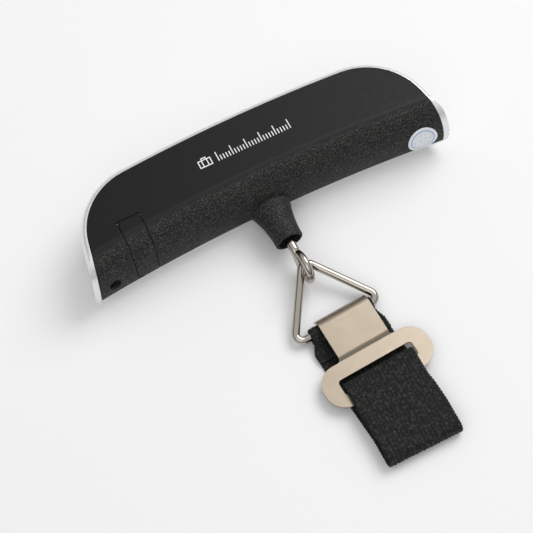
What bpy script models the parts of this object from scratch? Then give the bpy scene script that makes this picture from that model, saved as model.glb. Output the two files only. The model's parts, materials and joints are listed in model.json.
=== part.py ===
"""Digital luggage scale with a hook-on webbing strap, lying on its display side.

Every piece is drawn in metres. X runs along the half-moon body, Y is measured
from the body's lower contour (the arched back is at +Y, the hook and strap at -Y)
and +Z is up, through the plain back. The whole assembly hangs on one empty that
puts the centre of its footprint at the world origin.
"""
import math

import bmesh
import bpy
from mathutils import Euler, Matrix, Vector

MM = 0.001
GAP = 0.3 * MM                    # clearance between neighbouring pieces
COLLECTION = "luggage_scale"

# Body envelope
BODY_H = 28.0 * MM                # display face to back
ARCH_TOP = 35.0 * MM              # contour to the top of the arch, black panel
ARCH_R = 700.0 * MM
CORNER_R = 27.0 * MM
END_FLARE = math.radians(12.0)    # the ends widen towards the contour
TIP_X, TIP_Y = 76.7 * MM, -4.2 * MM
RIM = 2.7 * MM                    # silver rim outside the black panel
CONTOUR_R = 740.0 * MM            # the lower contour is a very flat arc
CONTOUR_Z = 9.5 * MM
SHOULDER_RUN, SHOULDER_RISE = 12.5 * MM, 18.6 * MM
CHIN_RUN, CHIN_DROP = 8.4 * MM, 9.6 * MM
RIM_RUN, RIM_DROP = 2.7 * MM, 3.5 * MM
BELLY_RUN, BELLY_DROP = 8.3 * MM, 13.0 * MM
WALL = 1.8 * MM
PART_Z = 8.0 * MM                 # the shells part just under the contour
LOW_Y = -16.0 * MM                # the envelope's outlines close below the contour

# Hook, nozzle and ring
AXIS_Z = 10.0 * MM
NOZZLE_LEN, NOZZLE_MOUTH_R, NOZZLE_ROOT_R = 16.1 * MM, 5.9 * MM, 8.6 * MM
NOZZLE_BORE_R = 4.9 * MM
SHANK_R, EYE_WIRE_R, EYE_R = 1.95 * MM, 1.6 * MM, 5.6 * MM
EYE_Y = -28.5 * MM
RING_WIRE_R, RING_H, RING_HALF_W = 1.65 * MM, 26.2 * MM, 19.5 * MM
RING_APEX = Vector((0.9 * MM, -27.3 * MM, 8.5 * MM))
RING_APEX_R, RING_CORNER_R = 3.2 * MM, 2.6 * MM
RING_HALF_APEX = math.radians(35.7)
RING_TURN = math.radians(3.5)     # the ring lies turned about Z
BAR_Z = 3.15 * MM                 # ring's base bar, on one layer of webbing

# Strap and buckle
WEB_T, WEB_W = 1.2 * MM, 32.0 * MM
LOOP_W = 28.0 * MM                # webbing crowds together between the ring's corners
STRAP_X = 7.4 * MM                # centre line of the strap's upper run
FOLD_R = 3.5 * MM
FOLD_Y = -111.9 * MM
SHEET_T = 0.9 * MM                # buckle plate
TONGUE_W, PLATE_W = 22.8 * MM, 47.6 * MM
PLATE_SHIFT = 2.5 * MM            # the plate hangs a little off the middle of the ring
TONGUE_L, JOG_L, PLATE_L = 13.9 * MM, 1.7 * MM, 18.1 * MM
SLOT_FROM, SLOT_L, SLOT_W = 6.4 * MM, 6.7 * MM, 33.6 * MM
PLATE_Z = 4.6 * MM

# Inside the body
BEAM_Y, BEAM_D, BEAM_HALF_L, BEAM_H = 3.6 * MM, 7.0 * MM, 27.0 * MM, 7.0 * MM
BOARD_Z, BOARD_T = 6.5 * MM, 1.2 * MM
DISPLAY_Y = 21.7 * MM
WINDOW_W, WINDOW_L = 40.0 * MM, 14.0 * MM
BUTTON_X, BUTTON_W, BUTTON_L = 32.0 * MM, 13.0 * MM, 9.0 * MM
CASE_SCREW_X, CASE_SCREW_Z = 70.0 * MM, 14.0 * MM
CASE_HOLE_R = 2.5 * MM
BEAM_SCREW_X = 22.0 * MM
BOARD_SCREW = (37.0 * MM, 29.1 * MM)
DOOR_X0, DOOR_X1 = -60.0 * MM, -50.7 * MM
DOOR_PIVOT = Vector(((DOOR_X0 + DOOR_X1) / 2, 14.3 * MM, 27.1 * MM))
KNUCKLE_R, PIN_R = 0.9 * MM, 0.4 * MM
CELL_X, CELL_Y, CELL_Z = -55.3 * MM, 14.4 * MM, 14.8 * MM
CELL_R, CELL_T = 10.0 * MM, 3.2 * MM
STICKER_X, STICKER_Z, STICKER_R = 67.5 * MM, 14.5 * MM, 6.4 * MM

# Half the footprint's length, from the arch's rim to the fold
HALF_LENGTH = (ARCH_TOP + RIM + FOLD_R - FOLD_Y) / 2
CONTOUR_Y = HALF_LENGTH - ARCH_TOP - RIM

PALETTE = {
    "black_plastic": ((0.030, 0.030, 0.028), 0.45, 0.0),
    "silver_plastic": ((0.72, 0.73, 0.74), 0.30, 0.35),
    "clear_plastic": ((0.80, 0.85, 0.86), 0.08, 0.0),
    "nickel": ((0.66, 0.62, 0.55), 0.18, 1.0),
    "steel": ((0.55, 0.56, 0.58), 0.30, 1.0),
    "aluminium": ((0.70, 0.71, 0.72), 0.35, 1.0),
    "brass": ((0.72, 0.55, 0.25), 0.30, 1.0),
    "webbing": ((0.018, 0.018, 0.018), 0.90, 0.0),
    "nylon": ((0.05, 0.05, 0.05), 0.50, 0.0),
    "board_green": ((0.03, 0.20, 0.08), 0.45, 0.0),
    "display_glass": ((0.35, 0.42, 0.36), 0.15, 0.0),
    "white_plastic": ((0.80, 0.80, 0.78), 0.40, 0.0),
    "rubber": ((0.10, 0.10, 0.11), 0.80, 0.0),
    "sticker": ((0.85, 0.86, 0.88), 0.50, 0.0),
    "wire_red": ((0.60, 0.03, 0.02), 0.45, 0.0),
    "wire_white": ((0.80, 0.80, 0.80), 0.45, 0.0),
    "wire_green": ((0.03, 0.35, 0.08), 0.45, 0.0),
    "wire_black": ((0.02, 0.02, 0.02), 0.45, 0.0),
}


# ---------------------------------------------------------------- scene helpers

def clear_scene():
    for obj in list(bpy.data.objects):
        bpy.data.objects.remove(obj, do_unlink=True)


def collection(name):
    found = bpy.data.collections.get(name)
    if not found:
        found = bpy.data.collections.new(name)
        bpy.context.scene.collection.children.link(found)
    return found


def material(piece, look):
    """A Principled material of the piece's own, from the palette."""
    colour, roughness, metallic = PALETTE[look]
    mat = bpy.data.materials.new(piece)
    mat.use_nodes = True
    shader = mat.node_tree.nodes["Principled BSDF"]
    shader.inputs["Base Color"].default_value = (*colour, 1.0)
    shader.inputs["Roughness"].default_value = roughness
    shader.inputs["Metallic"].default_value = metallic
    mat.diffuse_color = (*colour, 1.0)
    return mat


def empty(name, location=(0, 0, 0), turn=(0, 0, 0), parent=None):
    obj = bpy.data.objects.new(name, None)
    obj.empty_display_size = 5 * MM
    obj.location = location
    obj.rotation_euler = turn
    obj.parent = parent
    collection(COLLECTION).objects.link(obj)
    return obj


def attach(obj, pivot):
    """Hang a piece on a joint's empty without moving it."""
    local = Matrix.Translation(pivot.location) @ pivot.rotation_euler.to_matrix().to_4x4()
    obj.parent = pivot
    obj.matrix_parent_inverse = local.inverted()


def mesh_object(name, bm, group):
    bmesh.ops.recalc_face_normals(bm, faces=bm.faces)
    mesh = bpy.data.meshes.new(name)
    bm.to_mesh(mesh)
    bm.free()
    obj = bpy.data.objects.new(name, mesh)
    collection(group).objects.link(obj)
    obj.parent = root
    return obj


def piece(name, bm, look, smooth=True):
    """One physical piece: its own object, material and shading."""
    obj = mesh_object(name, bm, COLLECTION)
    obj.data.materials.append(material(name, look))
    if smooth:
        obj.data.shade_smooth()
        obj.data.set_sharp_from_angle(angle=math.radians(35))
    return obj


def cutter(name, bm):
    obj = mesh_object(name, bm, "cutters")
    obj.hide_render = True
    obj.display_type = "WIRE"
    return obj


def boolean(obj, other, operation):
    mod = obj.modifiers.new(other.name, "BOOLEAN")
    mod.operation = operation
    mod.solver = "EXACT"
    mod.object = other


def cut(obj, *others):
    for other in others:
        boolean(obj, other, "DIFFERENCE")


def join(obj, *others):
    for other in others:
        boolean(obj, other, "UNION")


# ---------------------------------------------------------------- shape helpers

def box(x, y, z):
    """A box from three (low, high) pairs."""
    bm = bmesh.new()
    bmesh.ops.create_cube(bm, size=1.0)
    spans = (x, y, z)
    for vert in bm.verts:
        for i, (low, high) in enumerate(spans):
            vert.co[i] = low + (vert.co[i] + 0.5) * (high - low)
    return bm


AXIS_TURN = {"X": Euler((0, math.pi / 2, 0)), "Y": Euler((-math.pi / 2, 0, 0)),
             "Z": Euler((0, 0, 0))}


def cylinder(centre, radius, low, high, axis="Z", segments=32):
    """A round bar about an axis through centre, between two places along that axis."""
    bm = bmesh.new()
    bmesh.ops.create_cone(bm, cap_ends=True, segments=segments, radius1=radius,
                          radius2=radius, depth=high - low)
    turn = AXIS_TURN[axis].to_matrix().to_4x4()
    place = Vector(centre)
    place["XYZ".index(axis)] = (low + high) / 2
    bmesh.ops.transform(bm, matrix=Matrix.Translation(place) @ turn, verts=bm.verts)
    return bm


def slab(outline, low, high, axis="Z"):
    """A flat outline extruded along an axis. Along X the outline is (y, z)."""
    bm = bmesh.new()
    if axis == "X":
        verts = [bm.verts.new((low, a, b)) for a, b in outline]
        step = Vector((high - low, 0, 0))
    elif axis == "Y":
        verts = [bm.verts.new((a, low, b)) for a, b in outline]
        step = Vector((0, high - low, 0))
    else:
        verts = [bm.verts.new((a, b, low)) for a, b in outline]
        step = Vector((0, 0, high - low))
    face = bm.faces.new(verts)
    grown = bmesh.ops.extrude_face_region(bm, geom=[face], use_keep_orig=True)
    top = [item for item in grown["geom"] if isinstance(item, bmesh.types.BMVert)]
    bmesh.ops.translate(bm, vec=step, verts=top)
    return bm


def arc(cx, cy, rx, ry, start, end, steps):
    """Points on an ellipse from one angle to another, in degrees."""
    points = []
    for i in range(steps + 1):
        angle = math.radians(start + (end - start) * i / steps)
        points.append((cx + rx * math.cos(angle), cy + ry * math.sin(angle)))
    return points


def rounded_rect(cx, cy, width, length, radius, steps=6):
    x, y = width / 2 - radius, length / 2 - radius
    corners = ((x, y, 0), (-x, y, 90), (-x, -y, 180), (x, -y, 270))
    points = []
    for dx, dy, start in corners:
        points += arc(cx + dx, cy + dy, radius, radius, start, start + 90, steps)
    return points


def turned(name, profile, centre, steps, group="cutters"):
    """A profile of (radius, y) pairs turned about the hook's axis, which runs along Y."""
    bm = bmesh.new()
    verts = [bm.verts.new((r, 0, -y)) for r, y in profile]
    for a, b in zip(verts, verts[1:]):
        bm.edges.new((a, b))
    mesh = bpy.data.meshes.new(name)
    bm.to_mesh(mesh)
    bm.free()
    obj = bpy.data.objects.new(name, mesh)
    collection(group).objects.link(obj)
    obj.parent = root
    obj.location = centre
    obj.rotation_euler = (math.pi / 2, 0, 0)
    screw = obj.modifiers.new("turn", "SCREW")
    screw.angle = 2 * math.pi
    screw.steps = screw.render_steps = steps
    screw.use_merge_vertices = True
    screw.merge_threshold = 0.00001
    screw.use_normal_calculate = True
    if group == "cutters":
        obj.hide_render = True
        obj.display_type = "WIRE"
    return obj


def tube(name, points, radius, look, closed=False, radii=None, sides=3):
    """A round wire along a list of points."""
    curve = bpy.data.curves.new(name, "CURVE")
    curve.dimensions = "3D"
    curve.bevel_depth = radius
    curve.bevel_resolution = sides
    curve.use_fill_caps = True
    spline = curve.splines.new("POLY")
    spline.points.add(len(points) - 1)
    for i, (point, place) in enumerate(zip(spline.points, points)):
        point.co = (*place, 1.0)
        if radii:
            point.radius = radii[i]
    spline.use_cyclic_u = closed
    spline.use_smooth = True
    obj = bpy.data.objects.new(name, curve)
    collection(COLLECTION).objects.link(obj)
    obj.data.materials.append(material(name, look))
    obj.parent = root
    return obj


def bezier(p0, p1, p2, p3, steps):
    points = []
    for i in range(steps + 1):
        t = i / steps
        s = 1 - t
        points.append(p0 * s**3 + p1 * 3 * s * s * t + p2 * 3 * s * t * t + p3 * t**3)
    return points


# ---------------------------------------------------------------- body envelope

def half_moon(grow):
    """The body's outline in plan, grown outwards: arch, corner arcs and flared ends."""
    out = Vector((math.cos(END_FLARE), math.sin(END_FLARE)))
    up = Vector((-math.sin(END_FLARE), math.cos(END_FLARE)))
    arch_centre = Vector((0, ARCH_TOP - ARCH_R))
    start = Vector((TIP_X, TIP_Y)) - CORNER_R * out - arch_centre
    along = start.dot(up)
    reach = -along + math.sqrt(along**2 - start.length_squared + (ARCH_R - CORNER_R)**2)
    corner = arch_centre + start + reach * up
    meet = math.degrees(math.atan2((corner - arch_centre).y, (corner - arch_centre).x))
    arch = arc(*arch_centre, ARCH_R + grow, ARCH_R + grow, 90, meet, 6)
    bend = arc(*corner, CORNER_R + grow, CORNER_R + grow, meet, math.degrees(END_FLARE), 11)
    end = Vector(bend[-1])
    drop = (end.y - LOW_Y) / math.cos(END_FLARE)
    line = [tuple(end - up * drop * k / 2) for k in (1, 2)]
    right = arch + bend[1:] + line
    return [(-x, y) for x, y in reversed(right)] + right[1:]


def pillow(inset):
    """Everything inside the half-moon: flat top and bottom, rounded rim and belly."""
    levels = []
    rim_run, rim_drop = RIM_RUN - inset, RIM_DROP - inset
    belly_run, belly_drop = BELLY_RUN - inset, BELLY_DROP - inset
    steps = 5
    for k in range(steps + 1):
        turn = math.radians(90 * k / steps)
        levels.append((inset + belly_drop * (1 - math.cos(turn)),
                       RIM - inset - belly_run * (1 - math.sin(turn))))
    for k in range(steps + 1):
        turn = math.radians(90 * k / steps)
        levels.append((BODY_H - inset - rim_drop * (1 - math.sin(turn)),
                       RIM - inset - rim_run * (1 - math.cos(turn))))
    bm = bmesh.new()
    rings = [[bm.verts.new((x, y, z)) for x, y in half_moon(grow)] for z, grow in levels]
    for low, high in zip(rings, rings[1:]):
        for i in range(len(low)):
            j = (i + 1) % len(low)
            bm.faces.new((low[i], low[j], high[j], high[i]))
    bm.faces.new(rings[0])
    bm.faces.new(rings[-1])
    return bm


def swept_section(inset, x_limit=90 * MM, steps=18):
    """The body's cross-section carried along the flat arc of the lower contour."""
    far = ARCH_TOP + 12 * MM
    over = BODY_H + 2 * MM
    shoulder = arc(SHOULDER_RUN, CONTOUR_Z, SHOULDER_RUN - inset, SHOULDER_RISE - inset,
                   90, 180, 12)
    chin = arc(CHIN_RUN, CONTOUR_Z, CHIN_RUN - inset, CHIN_DROP - inset, 180, 270, 6)
    section = [(SHOULDER_RUN, over)] + shoulder + chin[1:] + [(CHIN_RUN, -2 * MM)]
    section += [(far, -2 * MM), (far, over)]
    bm = bmesh.new()
    half = math.asin(x_limit / CONTOUR_R)
    face = bm.faces.new([bm.verts.new((0, y, z)) for y, z in section])
    centre = Vector((0, -CONTOUR_R, 0))
    bmesh.ops.rotate(bm, cent=centre, matrix=Matrix.Rotation(half, 3, "Z"), verts=bm.verts)
    bmesh.ops.spin(bm, geom=[face], cent=centre, axis=(0, 0, 1), angle=-2 * half,
                   steps=steps, use_duplicate=False)
    return bm


def envelope(name, inset):
    solid = cutter(name, pillow(inset))
    boolean(solid, cutter(name + "_section", swept_section(inset)), "INTERSECT")
    return solid


def shell_prism(grow, low):
    return slab(half_moon(grow), low, BODY_H + 3 * MM)


def nozzle_profile(grow):
    """Radius against distance along Y, mouth last, with a rounded inner end."""
    steps = 12
    points = [(0.0, 3.2 * MM + grow), (5.0 * MM + grow, 3.0 * MM + grow),
              (7.6 * MM + grow, 1.9 * MM + grow)]
    for i in range(steps + 1):
        d = i / steps
        radius = NOZZLE_MOUTH_R + (NOZZLE_ROOT_R - NOZZLE_MOUTH_R) * (1 - d)**2.2
        points.append((radius + grow, -NOZZLE_LEN * d * 0.97))
    points += [(NOZZLE_MOUTH_R - 0.2 * MM + grow, -NOZZLE_LEN + 0.15 * MM - grow),
               (NOZZLE_MOUTH_R - 0.5 * MM + grow, -NOZZLE_LEN - grow),
               (0.0, -NOZZLE_LEN - grow)]
    return points


# ---------------------------------------------------------------- shells and door

def door_outline(grow):
    """The door in plan: square at the contour, rounded at its hinge end."""
    x0, x1 = DOOR_X0 - grow, DOOR_X1 + grow
    top, r = DOOR_PIVOT.y, 2.4 * MM + grow
    return ([(x0, -12 * MM), (x1, -12 * MM)] + arc(x1 - r, top - r + grow, r, r, 0, 90, 6)
            + arc(x0 + r, top - r + grow, r, r, 90, 180, 6))


def knuckle():
    return cylinder(DOOR_PIVOT, KNUCKLE_R, DOOR_X0 + 1.6 * MM, DOOR_X1 - 1.6 * MM, "X", 24)


def hinge_way(reach):
    """The hinge pin's hole, reaching past both sides of the door."""
    return cylinder(DOOR_PIVOT, PIN_R + 0.15 * MM, DOOR_X0 - reach, DOOR_X1 + reach, "X", 16)


def case_screw_places():
    return ((side * CASE_SCREW_X, side) for side in (-1, 1))


def build_shells(outer, inner):
    axis = (0, 0, AXIS_Z)
    nozzle = turned("nozzle_outside", nozzle_profile(0), axis, 48)
    nozzle_room = turned("nozzle_room", nozzle_profile(GAP), axis, 48)
    bore = cutter("nozzle_bore", cylinder(axis, NOZZLE_BORE_R, -20 * MM, 6 * MM, "Y"))

    rear = piece("rear_shell", shell_prism(0, PART_Z), "black_plastic")
    boolean(rear, outer, "INTERSECT")
    cut(rear, inner)
    for x, side in case_screw_places():
        tag = "left" if side < 0 else "right"
        join(rear, cutter("rear_boss_" + tag, cylinder(
            (x, 0, CASE_SCREW_Z), 3.7 * MM, -1.9 * MM, 6.0 * MM, "Y")))
        cut(rear, cutter("screw_room_" + tag, cylinder(
            (x, 0, CASE_SCREW_Z), CASE_HOLE_R, -8 * MM, 4.5 * MM, "Y")))
        cut(rear, cutter("screw_way_" + tag, cylinder(
            (x, 0, CASE_SCREW_Z), 1.5 * MM, 4.0 * MM, 8 * MM, "Y", 24)))
    join(rear, nozzle)
    cut(rear, bore)
    cut(rear, cutter("door_opening", slab(door_outline(GAP), 4 * MM, 32 * MM)),
        cutter("knuckle_room", cylinder(DOOR_PIVOT, KNUCKLE_R + 0.2 * MM, DOOR_X0 - GAP,
                                        DOOR_X1 + GAP, "X", 24)),
        cutter("pin_way", hinge_way(1.8 * MM)))

    front = piece("front_shell", pillow(0), "silver_plastic")
    boolean(front, outer.modifiers[0].object, "INTERSECT")
    cut(front, inner, cutter("rear_room", shell_prism(GAP, PART_Z - GAP)))
    add_front_bosses(front)
    cut(front, nozzle_room)
    add_front_openings(front)


def add_front_bosses(front):
    for x, side in case_screw_places():
        tag = "left" if side < 0 else "right"
        join(front, cutter("front_boss_" + tag, cylinder(
            (x, 0, CASE_SCREW_Z), 3.1 * MM, 6.4 * MM, 20.2 * MM, "Y", 22)))
        cut(front, cutter("front_thread_" + tag, cylinder(
            (x, 0, CASE_SCREW_Z), 1.5 * MM, 5 * MM, 16 * MM, "Y", 24)))
        beam_y = BEAM_Y + BEAM_D / 2
        join(front, cutter("beam_boss_" + tag, cylinder(
            (side * BEAM_SCREW_X, beam_y, 0), 3.0 * MM, 1.0 * MM, 6.1 * MM, segments=24)))
        cut(front, cutter("beam_thread_" + tag, cylinder(
            (side * BEAM_SCREW_X, beam_y, 0), 1.75 * MM, 2.2 * MM, 8 * MM, segments=24)))
        px, py = side * BOARD_SCREW[0], BOARD_SCREW[1]
        join(front, cutter("board_boss_" + tag, cylinder(
            (px, py, 0), 2.0 * MM, 0.8 * MM, BOARD_Z - GAP, segments=20)))
        cut(front, cutter("board_thread_" + tag, cylinder(
            (px, py, 0), 1.1 * MM, 2.6 * MM, 8 * MM, segments=20)))


def add_front_openings(front):
    cut(front, cutter("window_seat", slab(rounded_rect(
        0, DISPLAY_Y, WINDOW_W + 2 * GAP, WINDOW_L + 2 * GAP, 2.3 * MM), -1 * MM, 1.35 * MM)))
    cut(front, cutter("window_opening", slab(rounded_rect(
        0, DISPLAY_Y, WINDOW_W - 5 * MM, WINDOW_L - 3.4 * MM, 1.0 * MM), -1 * MM, 3 * MM)))
    for tag, side in (("power", -1), ("unit", 1)):
        cut(front, cutter("button_opening_" + tag, slab(rounded_rect(
            side * BUTTON_X, DISPLAY_Y, BUTTON_W, BUTTON_L, BUTTON_L / 2 - 0.01 * MM),
            -1 * MM, 3 * MM)))


def build_door(outer, inner):
    pivot = empty("door_axis", DOOR_PIVOT, parent=root)
    door = piece("battery_door", slab(door_outline(0), PART_Z, BODY_H + 3 * MM),
                 "black_plastic")
    boolean(door, outer, "INTERSECT")
    cut(door, inner)
    join(door, cutter("door_knuckle", knuckle()))
    cut(door, cutter("door_pin_way", hinge_way(1 * MM)))
    cut(door, cutter("finger_notch", cylinder(
        (DOOR_X0 + 1.2 * MM, 0, 9.2 * MM), 1.0 * MM, -6 * MM, -1.9 * MM, "Y", 20)))
    attach(door, pivot)
    piece("door_hinge_pin", cylinder(DOOR_PIVOT, PIN_R, DOOR_X0 - 1.5 * MM,
                                     DOOR_X1 + 1.5 * MM, "X", 16), "steel")


def build_sticker():
    seal = piece("round_sticker", cylinder((STICKER_X, 0, STICKER_Z), STICKER_R,
                                           -14 * MM, 8 * MM, "Y", 40), "sticker")
    boolean(seal, cutter("sticker_outside", swept_section(-0.45 * MM)), "INTERSECT")
    cut(seal, cutter("sticker_inside", swept_section(-0.3 * MM)))


# ---------------------------------------------------------------- inside the body

def screw(name, centre, axis, head, shank, look="steel"):
    """A pan-head screw: head and shank are (radius, low, high) along the axis."""
    body = piece(name, cylinder(centre, *head, axis, 24), look)
    join(body, cutter(name + "_shank", cylinder(centre, *shank, axis, 20)))
    low, high = head[1], head[2]
    outside = high if high > shank[2] else low
    depth = 0.7 * MM
    reach = (outside - depth, outside + 1 * MM) if outside == high else (
        outside - 1 * MM, outside + depth)
    half, wide = 0.3 * MM, head[0] * 0.62
    spans = {"X": [reach, (-half, half), (-wide, wide)],
             "Y": [(-wide, wide), reach, (-half, half)],
             "Z": [(-wide, wide), (-half, half), reach]}[axis]
    across = [i for i in range(3) if i != "XYZ".index(axis)]
    for tag in ("slot_a", "slot_b"):
        moved = [(lo + centre[i], hi + centre[i]) if i in across else (lo, hi)
                 for i, (lo, hi) in enumerate(spans)]
        cut(body, cutter(name + "_" + tag, box(*moved)))
        spans[across[0]], spans[across[1]] = spans[across[1]], spans[across[0]]
    return body


def build_fasteners():
    beam_y = BEAM_Y + BEAM_D / 2
    top = AXIS_Z + BEAM_H / 2
    for x, side in case_screw_places():
        tag = "left" if side < 0 else "right"
        screw("case_screw_" + tag, (x, 0, CASE_SCREW_Z), "Y",
              (2.1 * MM, 2.6 * MM, 4.2 * MM), (1.15 * MM, 4.0 * MM, 15 * MM))
        screw("beam_screw_" + tag, (side * BEAM_SCREW_X, beam_y, 0), "Z",
              (2.7 * MM, top + GAP, top + 2.2 * MM), (1.4 * MM, 2.6 * MM, top + 1 * MM))
        screw("board_screw_" + tag, (side * BOARD_SCREW[0], BOARD_SCREW[1], 0), "Z",
              (1.8 * MM, BOARD_Z + BOARD_T + GAP, BOARD_Z + BOARD_T + 1.6 * MM),
              (0.8 * MM, 3.0 * MM, BOARD_Z + BOARD_T + 0.8 * MM))


def build_load_cell():
    low = AXIS_Z - BEAM_H / 2
    beam = piece("load_cell_beam", box((-BEAM_HALF_L, BEAM_HALF_L), (BEAM_Y, BEAM_Y + BEAM_D),
                                       (low, low + BEAM_H)), "aluminium")
    mid = BEAM_Y + BEAM_D / 2
    cut(beam, cutter("hook_way", cylinder((0, 0, AXIS_Z), 2.3 * MM, 0, 20 * MM, "Y")))
    for tag, side in (("left", -1), ("right", 1)):
        cut(beam, cutter("beam_way_" + tag, cylinder((side * BEAM_SCREW_X, mid, 0), 1.75 * MM,
                                                     0, 20 * MM, segments=24)))
        cut(beam, cutter("flexure_" + tag, slab(rounded_rect(
            side * 11 * MM, mid, 9 * MM, 4.4 * MM, 2.1 * MM), 0, 20 * MM)))
    piece("strain_gauge", box((7.5 * MM, 14.5 * MM), (BEAM_Y + BEAM_D + GAP, BEAM_Y + BEAM_D
          + 0.8 * MM), (8.3 * MM, 11.7 * MM)), "brass", smooth=False)


def build_display_and_board():
    half_w, half_l = 18 * MM, 6.3 * MM
    low_y, high_y = DISPLAY_Y - half_l, DISPLAY_Y + half_l
    piece("display_window", slab(rounded_rect(0, DISPLAY_Y, WINDOW_W, WINDOW_L, 2.0 * MM),
                                 0.15 * MM, 1.05 * MM), "clear_plastic")
    piece("lcd_module", box((-half_w, half_w), (low_y, high_y), (2.1 * MM, 4.3 * MM)),
          "display_glass", smooth=False)
    piece("backlight_panel", box((-half_w, half_w), (low_y, high_y - 2.4 * MM),
                                 (4.6 * MM, 6.1 * MM)), "white_plastic", smooth=False)
    piece("contact_strip", box((-half_w, half_w), (high_y - 2.0 * MM, high_y),
                               (4.6 * MM, 6.2 * MM)), "rubber", smooth=False)
    board = piece("circuit_board", slab(rounded_rect(0, 23.4 * MM, 82 * MM, 15.2 * MM, 1 * MM),
                                        BOARD_Z, BOARD_Z + BOARD_T), "board_green")
    for tag, side in (("left", -1), ("right", 1)):
        cut(board, cutter("board_way_" + tag, cylinder(
            (side * BOARD_SCREW[0], BOARD_SCREW[1], 0), 1.1 * MM, 4 * MM, 12 * MM,
            segments=20)))
    blob = bmesh.new()
    bmesh.ops.create_uvsphere(blob, u_segments=24, v_segments=12, radius=4 * MM)
    flat = Matrix.Translation((4 * MM, 24 * MM, BOARD_Z + BOARD_T + GAP)) @ Matrix.Diagonal(
        (1, 1, 0.4, 1))
    bmesh.ops.transform(blob, matrix=flat, verts=blob.verts)
    bmesh.ops.bisect_plane(blob, geom=blob.verts[:] + blob.edges[:] + blob.faces[:],
                           plane_co=(0, 0, BOARD_Z + BOARD_T + GAP), plane_no=(0, 0, -1),
                           clear_outer=True, dist=0.000001)
    rim = [edge for edge in blob.edges if len(edge.link_faces) == 1]
    bmesh.ops.holes_fill(blob, edges=rim)
    piece("controller_chip", blob, "rubber")


def build_buttons():
    for tag, side in (("power", -1), ("unit", 1)):
        x = side * BUTTON_X
        pivot = empty(tag + "_press_axis", (x, DISPLAY_Y, 0), parent=root)
        width, length = BUTTON_W - 2 * GAP, BUTTON_L - 2 * GAP
        cap = piece("button_" + tag, slab(rounded_rect(
            x, DISPLAY_Y, width, length, length / 2 - 0.01 * MM), 0.35 * MM, 2.4 * MM),
            "silver_plastic")
        flange = slab(rounded_rect(x, DISPLAY_Y, BUTTON_W + 1 * MM, BUTTON_L + 1 * MM,
                                   BUTTON_L / 2 + 0.4 * MM), 2.15 * MM, 2.9 * MM)
        join(cap, cutter("flange_" + tag, flange),
             cutter("stem_" + tag, cylinder((x, DISPLAY_Y, 0), 1.5 * MM, 2.6 * MM, 3.4 * MM,
                                            segments=20)))
        attach(cap, pivot)
        switch = piece("tact_switch_" + tag, box(
            (x - 3 * MM, x + 3 * MM), (DISPLAY_Y - 3 * MM, DISPLAY_Y + 3 * MM),
            (4.7 * MM, BOARD_Z - GAP)), "steel", smooth=False)
        join(switch, cutter("plunger_" + tag, cylinder((x, DISPLAY_Y, 0), 1.6 * MM,
                                                       4.1 * MM, 5 * MM, segments=20)))


def build_battery():
    piece("coin_cell", cylinder((0, CELL_Y, CELL_Z), CELL_R, CELL_X - CELL_T / 2,
                                CELL_X + CELL_T / 2, "X", 40), "steel")
    cradle = (arc(CELL_Y, CELL_Z, 11.4 * MM, 11.0 * MM, -62, 62, 18)
              + arc(CELL_Y, CELL_Z, 10.3 * MM, 10.3 * MM, 62, -62, 18))
    piece("battery_cradle", slab(cradle, CELL_X - 1.5 * MM, CELL_X + 1.5 * MM, "X"), "nylon")
    for tag, side in (("positive", 1), ("negative", -1)):
        face = CELL_X + side * (CELL_T / 2 + GAP)
        leaf = sorted((face, face + side * 0.5 * MM))
        contact = piece("contact_" + tag, box(leaf, (CELL_Y - 4 * MM, CELL_Y + 14.5 * MM),
                                              (CELL_Z - 2 * MM, CELL_Z + 2 * MM)), "brass",
                        smooth=False)
        foot = sorted((face, face + side * 2.5 * MM))
        join(contact, cutter("contact_foot_" + tag, box(
            foot, (CELL_Y + 14.0 * MM, CELL_Y + 14.5 * MM), (CELL_Z - 2 * MM, CELL_Z + 2 * MM))))


def build_wires():
    """Thin leads from the strain gauge and the battery contacts to the board."""
    board_top = BOARD_Z + BOARD_T + GAP + 0.4 * MM
    gauge_y = BEAM_Y + BEAM_D + 1.6 * MM
    looks = ("wire_red", "wire_white", "wire_green", "wire_black")
    for i, look in enumerate(looks):
        x = (8.6 + 1.6 * i) * MM
        start = Vector((x, gauge_y, 11.2 * MM))
        end = Vector((x + 9 * MM, 20 * MM, board_top + 0.4 * MM))
        points = bezier(start, start + Vector((0, 1.5 * MM, 4 * MM)),
                        end + Vector((-4 * MM, -2 * MM, 5 * MM)), end, 14)
        tube("sensor_" + look, points, 0.4 * MM, look, sides=1)
    for tag, side, look in (("positive", 1, "wire_red"), ("negative", -1, "wire_black")):
        x = CELL_X + side * (CELL_T / 2 + 2.0 * MM)
        start = Vector((x, CELL_Y + 13.3 * MM if side > 0 else CELL_Y + 15.3 * MM, 15 * MM))
        end = Vector((-38 * MM, (22 - 3 * side) * MM, board_top + 0.4 * MM))
        middle = Vector((-46 * MM, (26 - 2 * side) * MM, (18 - 2 * side) * MM))
        points = bezier(start, start + Vector((0, 0, 6 * MM)), middle, end, 16)
        tube("battery_lead_" + tag, points, 0.5 * MM, look, sides=1)


# ---------------------------------------------------------------- hook and ring

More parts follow.
